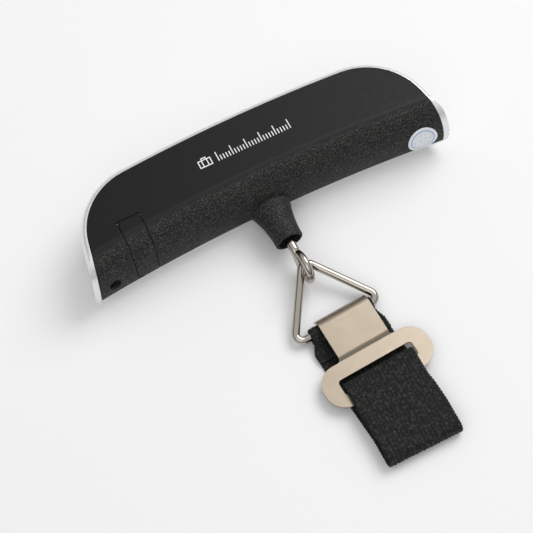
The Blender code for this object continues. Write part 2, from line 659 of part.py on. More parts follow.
def build_hook():
    axis = empty("hook_axis", (0, EYE_Y, AXIS_Z), parent=root)
    shank_end = 15.2 * MM
    neck = EYE_Y + EYE_R + 3.6 * MM
    points = [Vector((0, y, AXIS_Z)) for y in (shank_end, 0, -10 * MM)]
    radii = [SHANK_R / EYE_WIRE_R] * 3
    entry = math.radians(46)
    joint = Vector((0, EYE_Y + EYE_R * math.cos(entry), AXIS_Z - EYE_R * math.sin(entry)))
    heading = Vector((0, -math.sin(entry), -math.cos(entry)))
    start = Vector((0, neck, AXIS_Z))
    bend = bezier(start, start + Vector((0, -2.6 * MM, 0)), joint - heading * 1.8 * MM, joint, 8)
    points += bend
    radii += [SHANK_R / EYE_WIRE_R * (1 - k / 8) + k / 8 for k in range(9)]
    turns = 30
    leave = math.radians(326)
    for k in range(1, turns + 1):
        angle = entry + (leave - entry) * k / turns
        points.append(Vector((0, EYE_Y + EYE_R * math.cos(angle),
                              AXIS_Z - EYE_R * math.sin(angle))))
        radii.append(1.0)
    hook = tube("eye_hook", points, EYE_WIRE_R, "nickel", radii=radii, sides=5)
    attach(hook, axis)

    beam_end = BEAM_Y + BEAM_D
    washer = piece("hook_washer", cylinder((0, 0, AXIS_Z), 4.0 * MM, beam_end + GAP,
                                           beam_end + 0.9 * MM, "Y", 28), "steel")
    cut(washer, cutter("washer_way", cylinder((0, 0, AXIS_Z), 2.25 * MM, 0, 20 * MM, "Y", 28)))
    nut = piece("hook_nut", cylinder((0, 0, AXIS_Z), 3.9 * MM, beam_end + 1.2 * MM,
                                     beam_end + 4.0 * MM, "Y", 6), "steel")
    cut(nut, cutter("nut_way", cylinder((0, 0, AXIS_Z), 2.25 * MM, 0, 20 * MM, "Y", 28)))
    for obj in (washer, nut):
        attach(obj, axis)
    bush = piece("nozzle_bush", cylinder((0, 0, AXIS_Z), 4.6 * MM, -11.5 * MM, 2.6 * MM, "Y"),
                 "nylon")
    cut(bush, cutter("bush_way", cylinder((0, 0, AXIS_Z), 2.3 * MM, -20 * MM, 20 * MM, "Y")))


def ring_outline():
    """Centre line of the triangle: apex arc at the origin, base bar at y = -RING_H."""
    side = math.degrees(RING_HALF_APEX)
    apex = arc(0, -RING_APEX_R, RING_APEX_R, RING_APEX_R, side, 180 - side, 8)
    x = RING_HALF_W - RING_WIRE_R - RING_CORNER_R
    y = -RING_H + RING_CORNER_R
    left = arc(-x, y, RING_CORNER_R, RING_CORNER_R, 180 - side, 270, 8)
    right = arc(x, y, RING_CORNER_R, RING_CORNER_R, -90, side, 8)
    return apex + left + right


def ring_pose():
    """Where the ring lies: turned about Z, sloping down from the eye to the strap."""
    slope = math.asin((RING_APEX.z - BAR_Z) / RING_H)
    turn = Matrix.Rotation(RING_TURN, 4, "Z") @ Matrix.Rotation(slope, 4, "X")
    return Matrix.Translation(RING_APEX) @ turn


def build_ring():
    pose = ring_pose()
    axis = empty("ring_axis", RING_APEX, (0, 0, RING_TURN), root)
    points = [pose @ Vector((x, y, 0)) for x, y in ring_outline()]
    ring = tube("triangle_ring", points, RING_WIRE_R, "nickel", closed=True, sides=5)
    attach(ring, axis)




def bar_centre():
    return ring_pose() @ Vector((0, -RING_H, 0))


# ---------------------------------------------------------------- strap and buckle

def along_bar(verts, start, end):
    """Lay straight-drawn webbing along the strap: x across, y back from the ring's bar.

    The cross lines run with the ring's bar at one end and square at the other.
    """
    (x0, y0, skew0), (x1, y1, skew1) = start, end
    for vert in verts:
        share = min(1.0, max(0.0, (y0 - vert.co.y) / (y0 - y1)))
        skew = skew0 + (skew1 - skew0) * share
        centre = x0 + (x1 - x0) * share
        vert.co.y += vert.co.x * math.tan(skew)
        vert.co.x += centre


def narrow(verts, centre, reach, width):
    """Crowd the webbing to a smaller width near the place where it passes a bar."""
    for vert in verts:
        far = min(1.0, max(0.0, (abs(vert.co.y - centre) - reach) / (4 * MM)))
        vert.co.x *= (width + (WEB_W - width) * far) / WEB_W


def webbing(name, outline, hole, laid_from, laid_to, pinch):
    """Webbing drawn as a side view with a hole for its bar, then laid in place."""
    half = WEB_W / 2
    bm = slab(outline, -half, half, "X")
    bmesh.ops.recalc_face_normals(bm, faces=bm.faces)
    narrow(bm.verts, *pinch)
    along_bar(bm.verts, laid_from, laid_to)
    strap = piece(name, bm, "webbing")
    way = slab(hole, -half - 4 * MM, half + 4 * MM, "X")
    along_bar(way.verts, laid_from, laid_to)
    cut(strap, cutter(name + "_way", way))
    return strap


def build_strap():
    bar = bar_centre()
    fold = empty("fold_axis", (STRAP_X, FOLD_Y, FOLD_R), parent=root)
    pivot = empty("strap_axis", bar, (0, 0, RING_TURN), root)
    inside, outside = RING_WIRE_R + GAP, RING_WIRE_R + GAP + WEB_T
    end_y = FOLD_Y + FOLD_R + GAP + 0.2 * MM
    tail_top, tail_end = 2 * WEB_T, bar.y - 11.5 * MM
    top_arc = arc(bar.y, BAR_Z, outside, outside, 100, -90, 16)
    lower = [(end_y, WEB_T), (tail_end, WEB_T), (tail_end, tail_top),
             (bar.y - 6.5 * MM, tail_top)] + top_arc + [(end_y, 0.0)]
    hole = arc(bar.y, BAR_Z, inside, inside, 0, 345, 23)
    laid_from = (bar.x + 1.1 * MM, bar.y - 4 * MM, RING_TURN)
    laid_to = (STRAP_X, FOLD_Y + 10 * MM, 0.0)
    strap = webbing("strap_lower", lower, hole, laid_from, laid_to,
                    (bar.y, 3 * MM, LOOP_W))
    attach(strap, pivot)

    out = outer_bar()
    room_y, front_y, room_z = 3.4 * MM, 6.0 * MM, 1.6 * MM
    r = room_z + WEB_T
    shell_y, front = room_y - room_z, front_y - room_z
    top, under = out.z + r, out.z + r - 2 * WEB_T
    fold_top = 2 * FOLD_R
    loop = (arc(out.y + front, out.z, r, r, 90, -90, 10)
            + [(out.y - shell_y, out.z - r)] + [(out.y - shell_y - 3.2 * MM, under - 1.0 * MM)])
    tail = [(out.y - 9 * MM, under - 0.2 * MM), (out.y - 19 * MM, under - 0.2 * MM),
            (out.y - 19 * MM, under + WEB_T - 0.2 * MM)]
    bend_in = arc(FOLD_Y, FOLD_R, FOLD_R - WEB_T, FOLD_R - WEB_T, 90, 270, 12)
    bend_out = arc(FOLD_Y, FOLD_R, FOLD_R, FOLD_R, 270, 90, 14)
    upper = loop + tail + bend_in + bend_out + [(out.y - shell_y, top)]
    hole = (arc(out.y + front, out.z, room_z, room_z, 90, -90, 8)
            + arc(out.y - shell_y, out.z, room_z, room_z, 270, 90, 8))
    strap = webbing("strap_upper", upper, hole, (out.x - 0.4 * MM, out.y - 6 * MM, RING_TURN),
                    (STRAP_X, FOLD_Y + 10 * MM, 0.0), (out.y, 6 * MM, 31.2 * MM))
    attach(strap, fold)


def outer_bar():
    """Centre of the buckle's outer bar, which the webbing is sewn round."""
    reach = TONGUE_L + JOG_L + PLATE_L - (PLATE_L - SLOT_FROM - SLOT_L) / 2
    turn = Matrix.Rotation(RING_TURN, 3, "Z")
    spot = bar_centre() + turn @ Vector((PLATE_SHIFT, -reach, 0))
    spot.z = PLATE_Z
    return spot


def buckle_side():
    """Side view of the bent plate, y from the ring's bar: hook, tongue, jog and plate."""
    hook_in = RING_WIRE_R + WEB_T + 2 * GAP
    mid = hook_in + SHEET_T / 2
    tongue_slope = math.radians(5.0)
    top = BAR_Z + mid
    low = top - TONGUE_L * math.tan(tongue_slope)
    centre = arc(0, BAR_Z, mid, mid, 6, 90 + math.degrees(tongue_slope), 12)
    centre += [(-TONGUE_L, low), (-TONGUE_L - JOG_L * 0.8, PLATE_Z + 0.1 * MM),
               (-TONGUE_L - JOG_L * 1.15, PLATE_Z), (-TONGUE_L - JOG_L - PLATE_L - 1 * MM, PLATE_Z)]
    upper, under = [], []
    for i, point in enumerate(centre):
        before = Vector(centre[max(0, i - 1)])
        after = Vector(centre[min(len(centre) - 1, i + 1)])
        along = (after - before).normalized()
        side = Vector((-along.y, along.x)) * SHEET_T / 2
        under.append(tuple(Vector(point) + side))
        upper.append(tuple(Vector(point) - side))
    return upper + list(reversed(under))


def buckle_plan():
    """Plan of the plate: narrow tongue, fillets, then the wide plate with round corners."""
    half_t, half_p, fillet, corner = TONGUE_W / 2, PLATE_W / 2, 1.3 * MM, 8.4 * MM
    shoulder = -TONGUE_L - JOG_L
    end = shoulder - PLATE_L
    right = [(half_t, 8 * MM)]
    right += arc(half_t + fillet, shoulder + fillet, fillet, fillet, 180, 270, 5)
    right += arc(half_p - corner, shoulder - corner, corner, corner, 90, 0, 10)
    right += arc(half_p - corner, end + corner, corner, corner, 0, -90, 10)
    return right + [(-x, y) for x, y in reversed(right)]


def build_buckle():
    bar = bar_centre()
    out = outer_bar()
    axis = empty("buckle_axis", out, (0, 0, RING_TURN), root)
    place = Matrix.Translation((bar.x, bar.y, 0)) @ Matrix.Rotation(RING_TURN, 4, "Z")
    place = place @ Matrix.Translation((PLATE_SHIFT, 0, 0))
    bent = slab(buckle_side(), -PLATE_W / 2 - 2 * MM, PLATE_W / 2 + 2 * MM, "X")
    plan = slab(buckle_plan(), -3 * MM, 12 * MM)
    slot_y = -TONGUE_L - JOG_L - SLOT_FROM - SLOT_L / 2
    slot = slab(rounded_rect(0, slot_y, SLOT_W, SLOT_L, 1.6 * MM), -3 * MM, 12 * MM)
    for bm in (bent, plan, slot):
        bmesh.ops.transform(bm, matrix=place, verts=bm.verts)
    plate = piece("buckle", bent, "nickel")
    boolean(plate, cutter("buckle_plan", plan), "INTERSECT")
    cut(plate, cutter("buckle_slot", slot))
    attach(plate, axis)


# ---------------------------------------------------------------- assembly

clear_scene()
root = empty("scale_frame", (0, CONTOUR_Y, 0))
outer_envelope = envelope("envelope_outer", 0)
inner_envelope = envelope("envelope_inner", WALL)
build_shells(outer_envelope, inner_envelope)
build_door(outer_envelope, inner_envelope)
build_sticker()
build_load_cell()
build_display_and_board()
build_buttons()
build_battery()
build_wires()
build_fasteners()
build_hook()
build_ring()
build_strap()
build_buckle()
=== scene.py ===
import json
import math
import random

import bmesh
import bpy
from mathutils import Matrix, Vector, noise


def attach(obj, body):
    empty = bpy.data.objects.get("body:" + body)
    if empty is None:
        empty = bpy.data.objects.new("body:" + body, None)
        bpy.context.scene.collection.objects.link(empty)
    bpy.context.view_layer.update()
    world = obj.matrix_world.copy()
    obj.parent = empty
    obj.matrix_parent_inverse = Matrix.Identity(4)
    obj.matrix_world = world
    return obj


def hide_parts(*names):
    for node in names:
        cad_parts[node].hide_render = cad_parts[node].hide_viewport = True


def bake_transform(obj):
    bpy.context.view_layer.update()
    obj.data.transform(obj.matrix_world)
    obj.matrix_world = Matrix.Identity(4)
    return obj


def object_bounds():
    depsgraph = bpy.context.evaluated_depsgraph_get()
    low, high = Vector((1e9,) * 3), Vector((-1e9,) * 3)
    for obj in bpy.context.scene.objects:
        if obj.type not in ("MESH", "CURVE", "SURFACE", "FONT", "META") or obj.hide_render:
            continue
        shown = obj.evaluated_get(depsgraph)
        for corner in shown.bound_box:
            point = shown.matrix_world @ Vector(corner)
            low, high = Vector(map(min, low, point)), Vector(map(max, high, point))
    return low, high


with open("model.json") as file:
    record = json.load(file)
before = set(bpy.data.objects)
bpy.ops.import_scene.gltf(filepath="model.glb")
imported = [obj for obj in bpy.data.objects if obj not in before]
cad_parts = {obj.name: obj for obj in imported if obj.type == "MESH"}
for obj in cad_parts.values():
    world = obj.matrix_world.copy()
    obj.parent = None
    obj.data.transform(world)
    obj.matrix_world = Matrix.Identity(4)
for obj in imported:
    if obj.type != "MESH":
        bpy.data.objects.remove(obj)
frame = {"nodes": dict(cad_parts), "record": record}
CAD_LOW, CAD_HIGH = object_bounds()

random.seed(7)
MM = 0.001

# ------------------------------------------------------------------ dimensions
# The shells, wires, plate and webbing are drawn finer than in the frame, from the
# same dimensions. Y is measured from the body's lower contour, as in the CAD.
BODY_H, ARCH_TOP, ARCH_R, CORNER_R = 28 * MM, 35 * MM, 700 * MM, 27 * MM
END_FLARE = math.radians(12)
TIP_X, TIP_Y, RIM = 76.7 * MM, -4.2 * MM, 2.7 * MM
CONTOUR_R, CONTOUR_Z = 740 * MM, 9.5 * MM
SHOULDER_RUN, SHOULDER_RISE = 12.5 * MM, 18.6 * MM
CHIN_RUN, CHIN_DROP = 8.4 * MM, 9.6 * MM
RIM_RUN, RIM_DROP, BELLY_RUN, BELLY_DROP = 2.7 * MM, 3.5 * MM, 8.3 * MM, 13 * MM
WALL, PART_Z, LOW_Y, GAP = 1.8 * MM, 8 * MM, -16 * MM, 0.3 * MM
AXIS_Z = 10 * MM
NOZZLE_LEN, MOUTH_R, ROOT_R, BORE_R = 16.1 * MM, 5.9 * MM, 8.6 * MM, 4.9 * MM
SHANK_R, EYE_WIRE_R, EYE_R, EYE_Y = 1.95 * MM, 1.6 * MM, 5.6 * MM, -28.5 * MM
RING_WIRE_R, RING_H, RING_HALF_W = 1.65 * MM, 26.2 * MM, 19.5 * MM
RING_APEX = Vector((0.9 * MM, -27.3 * MM, 8.5 * MM))
RING_APEX_R, RING_CORNER_R, RING_HALF_APEX = 3.2 * MM, 2.6 * MM, 35.7
RING_TURN = math.radians(3.5)
BAR_Z = 3.15 * MM
WEB_T, WEB_W, LOOP_W, SLOT_WEB_W = 1.2 * MM, 32 * MM, 28 * MM, 31.2 * MM
LOOP_SHIFT, SLOT_SHIFT = 1.1 * MM, -0.4 * MM   # off the middle of the bars
PINCH_RUN = 4 * MM                        # over this length the webbing narrows
LOOP_BACK, LOOP_FRONT, LOOP_ROOM_Z = 1.8 * MM, 4.4 * MM, 1.6 * MM
STRAP_X, FOLD_R, FOLD_Y = 7.4 * MM, 3.5 * MM, -111.9 * MM
SHEET_T, TONGUE_W, PLATE_W, PLATE_SHIFT = 0.9 * MM, 22.8 * MM, 47.6 * MM, 2.5 * MM
TONGUE_L, JOG_L, PLATE_L = 13.9 * MM, 1.7 * MM, 18.1 * MM
SLOT_FROM, SLOT_L, SLOT_W, PLATE_Z = 6.4 * MM, 6.7 * MM, 33.6 * MM, 4.6 * MM
DISPLAY_Y, WINDOW_W, WINDOW_L = 21.7 * MM, 40 * MM, 14 * MM
BUTTON_X, BUTTON_W, BUTTON_L = 32 * MM, 13 * MM, 9 * MM
CASE_SCREW_X, CASE_SCREW_Z, CASE_HOLE_R = 70 * MM, 14 * MM, 2.5 * MM
DOOR_X0, DOOR_X1 = -60 * MM, -50.7 * MM
DOOR_PIVOT = Vector(((DOOR_X0 + DOOR_X1) / 2, 14.3 * MM, 27.1 * MM))
KNUCKLE_R, KNUCKLE_ROOM_R, PIN_WAY_R = 0.9 * MM, 1.1 * MM, 0.55 * MM
STICKER_X, STICKER_Z, STICKER_R = 67.5 * MM, 14.5 * MM, 6.4 * MM

# The lower contour's place along Y, from the frame's own box
CONTOUR_Y = CAD_HIGH.y - ARCH_TOP - RIM


# ------------------------------------------------------------------ mesh helpers

def mesh_of(bm, name="part"):
    bmesh.ops.recalc_face_normals(bm, faces=bm.faces)
    mesh = bpy.data.meshes.new(name)
    bm.to_mesh(mesh)
    bm.free()
    return mesh


def scratch(mesh):
    obj = bpy.data.objects.new("scratch", mesh)
    bpy.context.scene.collection.objects.link(obj)
    return obj


def solved(mesh, steps, solver="MANIFOLD"):
    """A mesh after a list of Booleans: (operation, other mesh)."""
    obj = scratch(mesh)
    others = []
    for operation, other in steps:
        others.append(scratch(other))
        mod = obj.modifiers.new("step", "BOOLEAN")
        mod.operation, mod.object, mod.solver = operation, others[-1], solver
    return baked(obj, others)


def baked(obj, others=()):
    bpy.context.view_layer.update()
    shape = obj.evaluated_get(bpy.context.evaluated_depsgraph_get())
    mesh = bpy.data.meshes.new_from_object(shape)
    for item in (obj, *others):
        bpy.data.objects.remove(item, do_unlink=True)
    return mesh


def piece(name, mesh, body, mat, replaced=(), sharp=32, bevel=0.0, shift=True):
    """One visible piece on a CAD body, with softened edges and area-weighted normals."""
    obj = bpy.data.objects.new(name, mesh)
    bpy.context.scene.collection.objects.link(obj)
    if shift:
        mesh.transform(Matrix.Translation((0, CONTOUR_Y, 0)))
    mesh.materials.clear()
    mesh.materials.append(mat)
    if bevel:
        mod = obj.modifiers.new("soft_edges", "BEVEL")
        mod.width, mod.segments, mod.limit_method = bevel, 2, "ANGLE"
        mod.angle_limit = math.radians(38)
        mod.use_clamp_overlap = True
        mod.harden_normals = False
    mesh.shade_smooth()
    mesh.set_sharp_from_angle(angle=math.radians(sharp))
    if sharp < 90:
        mod = obj.modifiers.new("even_normals", "WEIGHTED_NORMAL")
        mod.keep_sharp, mod.weight = True, 80
    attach(obj, body)
    if replaced:
        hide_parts(*replaced)
    return obj


def arc(cx, cy, rx, ry, start, end, steps):
    points = []
    for i in range(steps + 1):
        angle = math.radians(start + (end - start) * i / steps)
        points.append((cx + rx * math.cos(angle), cy + ry * math.sin(angle)))
    return points


def rounded_rect(cx, cy, width, length, radius, steps=10):
    x, y = width / 2 - radius, length / 2 - radius
    points = []
    for dx, dy, start in ((x, y, 0), (-x, y, 90), (-x, -y, 180), (x, -y, 270)):
        points += arc(cx + dx, cy + dy, radius, radius, start, start + 90, steps)
    return points


def slab(outline, low, high, axis="Z"):
    """A flat outline extruded along an axis. Along X the outline is (y, z)."""
    bm = bmesh.new()
    order = {"X": lambda a, b, c: (c, a, b), "Y": lambda a, b, c: (a, c, b),
             "Z": lambda a, b, c: (a, b, c)}[axis]
    rings = [[bm.verts.new(order(a, b, c)) for a, b in outline] for c in (low, high)]
    for i in range(len(outline)):
        j = (i + 1) % len(outline)
        bm.faces.new((rings[0][i], rings[0][j], rings[1][j], rings[1][i]))
    bm.faces.new(rings[0])
    bm.faces.new(rings[1])
    return mesh_of(bm)


def rod(centre, radius, low, high, axis="Z", segments=48):
    """A round bar about an axis through centre."""
    a, b = [i for i in range(3) if i != "XYZ".index(axis)]
    outline = arc(centre[a], centre[b], radius, radius, 0, 360 - 360 / segments, segments - 1)
    return slab(outline, low, high, axis)


def block(x, y, z):
    return slab([(x[0], y[0]), (x[1], y[0]), (x[1], y[1]), (x[0], y[1])], *z)


def tube(points, radius, radii=None, closed=False, sides=9):
    """A round wire along a list of points, as a mesh."""
    curve = bpy.data.curves.new("wire", "CURVE")
    curve.dimensions = "3D"
    curve.bevel_depth, curve.bevel_resolution = radius, sides
    curve.use_fill_caps = True
    spline = curve.splines.new("POLY")
    spline.points.add(len(points) - 1)
    for i, (point, place) in enumerate(zip(spline.points, points)):
        point.co = (*place, 1.0)
        if radii:
            point.radius = radii[i]
    spline.use_cyclic_u = closed
    return baked(scratch(curve))


def bezier(p0, p1, p2, p3, steps):
    points = []
    for i in range(steps + 1):
        t = i / steps
        s = 1 - t
        points.append(p0 * s**3 + p1 * 3 * s * s * t + p2 * 3 * s * t * t + p3 * t**3)
    return points


# ------------------------------------------------------------------ materials

class Look:
    """A Principled material built node by node, on the object's own coordinates."""

    def __init__(self, name, colour, roughness, metallic=0.0, **sockets):
        self.mat = bpy.data.materials.new(name)
        self.mat.use_nodes = True
        self.tree = self.mat.node_tree
        self.shader = self.tree.nodes["Principled BSDF"]
        self.put("Base Color", (*colour, 1.0))
        self.put("Roughness", roughness)
        self.put("Metallic", metallic)
        for socket, value in sockets.items():
            self.put(socket.replace("_", " "), value)
        self.where = self.node("ShaderNodeTexCoord").outputs["Object"]

    def node(self, kind, **values):
        made = self.tree.nodes.new(kind)
        for key, value in values.items():
            setattr(made, key, value)
        return made

    def link(self, source, target):
        self.tree.links.new(source, target)

    def put(self, socket, value):
        self.shader.inputs[socket].default_value = value

    def stretched(self, scale, turn=0.0):
        made = self.node("ShaderNodeMapping")
        made.inputs["Scale"].default_value = scale
        made.inputs["Rotation"].default_value = (0, 0, turn)
        self.link(self.where, made.inputs["Vector"])
        return made.outputs["Vector"]

    def noise(self, scale, detail=3.0, rough=0.55, vector=None):
        made = self.node("ShaderNodeTexNoise")
        made.inputs["Scale"].default_value = scale
        made.inputs["Detail"].default_value = detail
        made.inputs["Roughness"].default_value = rough
        self.link(vector or self.where, made.inputs["Vector"])
        return made.outputs["Fac"]

    def cells(self, scale, vector=None):
        made = self.node("ShaderNodeTexVoronoi")
        made.inputs["Scale"].default_value = scale
        self.link(vector or self.where, made.inputs["Vector"])
        return made.outputs["Distance"]

    def span(self, source, low, high, to_low=0.0, to_high=1.0, smooth=True):
        made = self.node("ShaderNodeMapRange",
                         interpolation_type="SMOOTHSTEP" if smooth else "LINEAR")
        for socket, value in zip(("From Min", "From Max", "To Min", "To Max"),
                                 (low, high, to_low, to_high)):
            made.inputs[socket].default_value = value
        self.link(source, made.inputs["Value"])
        return made.outputs["Result"]

    def maths(self, operation, a, b):
        made = self.node("ShaderNodeMath", operation=operation)
        for i, value in enumerate((a, b)):
            if isinstance(value, (int, float)):
                made.inputs[i].default_value = value
            else:
                self.link(value, made.inputs[i])
        return made.outputs["Value"]

    def mixed(self, factor, dark, light):
        """Colour between two colours or colour sockets."""
        made = self.node("ShaderNodeMix", data_type="RGBA")
        self.link(factor, made.inputs["Factor"])
        for socket, value in (("A", dark), ("B", light)):
            target = [s for s in made.inputs if s.name == socket and s.type == "RGBA"][0]
            if isinstance(value, tuple):
                target.default_value = (*value, 1.0)
            else:
                self.link(value, target)
        return [s for s in made.outputs if s.type == "RGBA"][0]

    def bump(self, height, distance, strength=1.0, after=None):
        made = self.node("ShaderNodeBump")
        made.inputs["Distance"].default_value = distance
        made.inputs["Strength"].default_value = strength
        self.link(height, made.inputs["Height"])
        if after:
            self.link(after, made.inputs["Normal"])
        self.link(made.outputs["Normal"], self.shader.inputs["Normal"])
        return made.outputs["Normal"]

    def colour(self, source):
        self.link(source, self.shader.inputs["Base Color"])

    def rough(self, source):
        self.link(source, self.shader.inputs["Roughness"])

    def from_contour(self):
        """Distance in from the body's lower contour, in metres."""
        split = self.node("ShaderNodeSeparateXYZ")
        self.link(self.where, split.inputs[0])
        flat = self.node("ShaderNodeCombineXYZ")
        for axis in "XY":
            self.link(split.outputs[axis], flat.inputs[axis])
        reach = self.node("ShaderNodeVectorMath", operation="DISTANCE")
        self.link(flat.outputs[0], reach.inputs[0])
        reach.inputs[1].default_value = (0, CONTOUR_Y - CONTOUR_R, 0)
        return self.maths("SUBTRACT", reach.outputs["Value"], CONTOUR_R)


def tinted(colour, share):
    return tuple(c * share for c in colour)


def moulded(name, colour, roughness, metallic=0.0, grain=900, depth=0.02, spread=0.12,
            **sockets):
    """Moulded or plated stock: a little colour and gloss variation and a fine surface."""
    look = Look(name, colour, roughness, metallic, **sockets)
    broad = look.noise(120, 4)
    look.colour(look.mixed(look.span(broad, 0.3, 0.7), tinted(colour, 1 - spread),
                           tinted(colour, 1 + spread)))
    fine = look.noise(grain, 5)
    look.rough(look.span(fine, 0.3, 0.7, roughness * 0.85, min(1.0, roughness * 1.2)))
    look.bump(fine, depth * MM, 0.6)
    return look.mat


def black_casing():
    """Satin back, then a smooth belt painted lighter as a painted highlight where the back turns
    into the shoulder, then a coarse spark-eroded shoulder and nozzle.
    """
    look = Look("black_casing", (0.006, 0.006, 0.0055), 0.36)
    look.put("Specular IOR Level", 0.22)
    inward = look.from_contour()
    wander = look.span(look.noise(260, 3), 0.2, 0.8, -0.7 * MM, 0.7 * MM, False)
    edge = look.maths("ADD", inward, wander)
    eroded = look.span(edge, 8.6 * MM, 10.4 * MM, 1.0, 0.0)
    shoulder = look.span(inward, 11.2 * MM, 12.6 * MM, 1.0, 0.0)
    pits = look.noise(1250, 4, 0.62)
    specks = look.span(look.noise(1900, 2, 0.5), 0.45, 0.68)
    # Painted highlight: where the shoulder mask is on, the smooth belt above the eroded region
    # gets a colour about three times lighter than the flat back. It stands in for the light this
    # curve reflects.
    painted_highlight_belt = look.mixed(shoulder, (0.0030, 0.0030, 0.0026), (0.010, 0.0105, 0.010))
    rough_tone = look.mixed(specks, (0.010, 0.010, 0.0097), (0.068, 0.068, 0.064))
    look.colour(look.mixed(eroded, painted_highlight_belt, rough_tone))
    gloss = look.span(look.noise(420, 3), 0.3, 0.7, 0.34, 0.42)
    look.rough(look.maths("ADD", gloss, look.maths("MULTIPLY", eroded, 0.20)))
    coarse = look.bump(look.maths("MULTIPLY", pits, eroded), 0.16 * MM, 0.9)
    look.bump(look.noise(2600, 3), 0.006 * MM, 0.5, coarse)
    return look.mat


def silver_paint():
    """Even silver paint under a thin clear coat, with faint clouds."""
    look = Look("silver_paint", (0.80, 0.81, 0.82), 0.27, 0.55)
    look.put("Coat Weight", 0.12)
    look.put("Coat Roughness", 0.22)
    clouds = look.noise(150, 3)
    look.colour(look.mixed(look.span(clouds, 0.3, 0.7), (0.85, 0.86, 0.87),
                           (0.843, 0.853, 0.863)))
    look.rough(look.span(look.noise(90, 2), 0.3, 0.7, 0.27, 0.31))
    return look.mat


def nickel(name, colour, roughness, lines, depth):
    """Plated metal: drawn or brushed one way, with faint cloudiness."""
    look = Look(name, colour, roughness, 1.0)
    clouds = look.span(look.noise(140, 4), 0.3, 0.7)
    look.colour(look.mixed(clouds, tinted(colour, 0.96), tinted(colour, 1.03)))
    drawn = look.noise(900, 4, 0.6, look.stretched(lines, RING_TURN))
    look.rough(look.span(drawn, 0.3, 0.7, roughness * 0.88, roughness * 1.14))
    look.bump(drawn, depth * MM, 0.4)
    return look.mat


def woven():
    """Black polypropylene yarn: fibres along the yarns, dull, with a slight sheen; the yarn crowns
    are painted lighter and the gaps between them darker, as painted highlight and painted shade.
    """
    look = Look("woven_webbing", (0.014, 0.014, 0.0135), 0.62)
    look.put("Sheen Weight", 0.04)
    look.put("Sheen Roughness", 0.5)
    look.put("Specular IOR Level", 0.28)
    yarn = look.noise(1600, 4, 0.6, look.stretched((0.45, 1.0, 1.0), 0.5))
    crowns = look.span(look.cells(640), 0.12, 0.62, 1.0, 0.0)
    # Painted highlight and painted shade: the colour runs from near black in the gaps between yarn
    # crowns to lighter on the crowns, with a random spread.
    painted_crown_light = look.maths("MULTIPLY", crowns, look.span(look.noise(420, 3), 0.3, 0.7, 0.45, 1.0))
    look.colour(look.mixed(painted_crown_light, (0.0022, 0.0022, 0.0021), (0.032, 0.032, 0.0305)))
    look.rough(look.span(yarn, 0.3, 0.7, 0.50, 0.78))
    raised = look.bump(crowns, 0.22 * MM, 0.8)
    look.bump(yarn, 0.08 * MM, 0.8, raised)
    return look.mat


def seal_paper():
    """White seal with a thin blue ring and a faint guilloche of dots."""
    look = Look("seal_paper", (0.86, 0.88, 0.90), 0.42)
    centre = (STICKER_X, 0, STICKER_Z)
    split = look.node("ShaderNodeSeparateXYZ")
    look.link(look.where, split.inputs[0])
    flat = look.node("ShaderNodeCombineXYZ")
    look.link(split.outputs["X"], flat.inputs["X"])
    look.link(split.outputs["Z"], flat.inputs["Z"])
    reach = look.node("ShaderNodeVectorMath", operation="DISTANCE")
    look.link(flat.outputs[0], reach.inputs[0])
    reach.inputs[1].default_value = centre
    radius = reach.outputs["Value"]
    ring = look.maths("MULTIPLY", look.span(radius, 4.55 * MM, 4.75 * MM),
                      look.span(radius, 5.15 * MM, 5.35 * MM, 1.0, 0.0))
    inside = look.span(radius, 4.0 * MM, 4.4 * MM, 1.0, 0.0)
    dots = look.maths("MULTIPLY", look.span(look.cells(950), 0.28, 0.42, 1.0, 0.0), inside)
    paper = look.mixed(look.noise(500, 3), (0.80, 0.83, 0.86), (0.90, 0.91, 0.93))
    dotted = look.mixed(look.maths("MULTIPLY", dots, 0.55), paper, (0.42, 0.62, 0.80))
    look.colour(look.mixed(look.maths("MULTIPLY", ring, 0.8), dotted, (0.25, 0.42, 0.72)))
    look.bump(look.noise(900, 3), 0.01 * MM, 0.4)
    return look.mat


def board_green():
    look = Look("board_green", (0.02, 0.14, 0.05), 0.32)
    tracks = look.span(look.cells(420, look.stretched((1.0, 0.25, 1.0))), 0.20, 0.28)
    look.colour(look.mixed(tracks, (0.03, 0.22, 0.08), (0.015, 0.12, 0.045)))
    look.bump(tracks, 0.03 * MM, 0.5)
    return look.mat


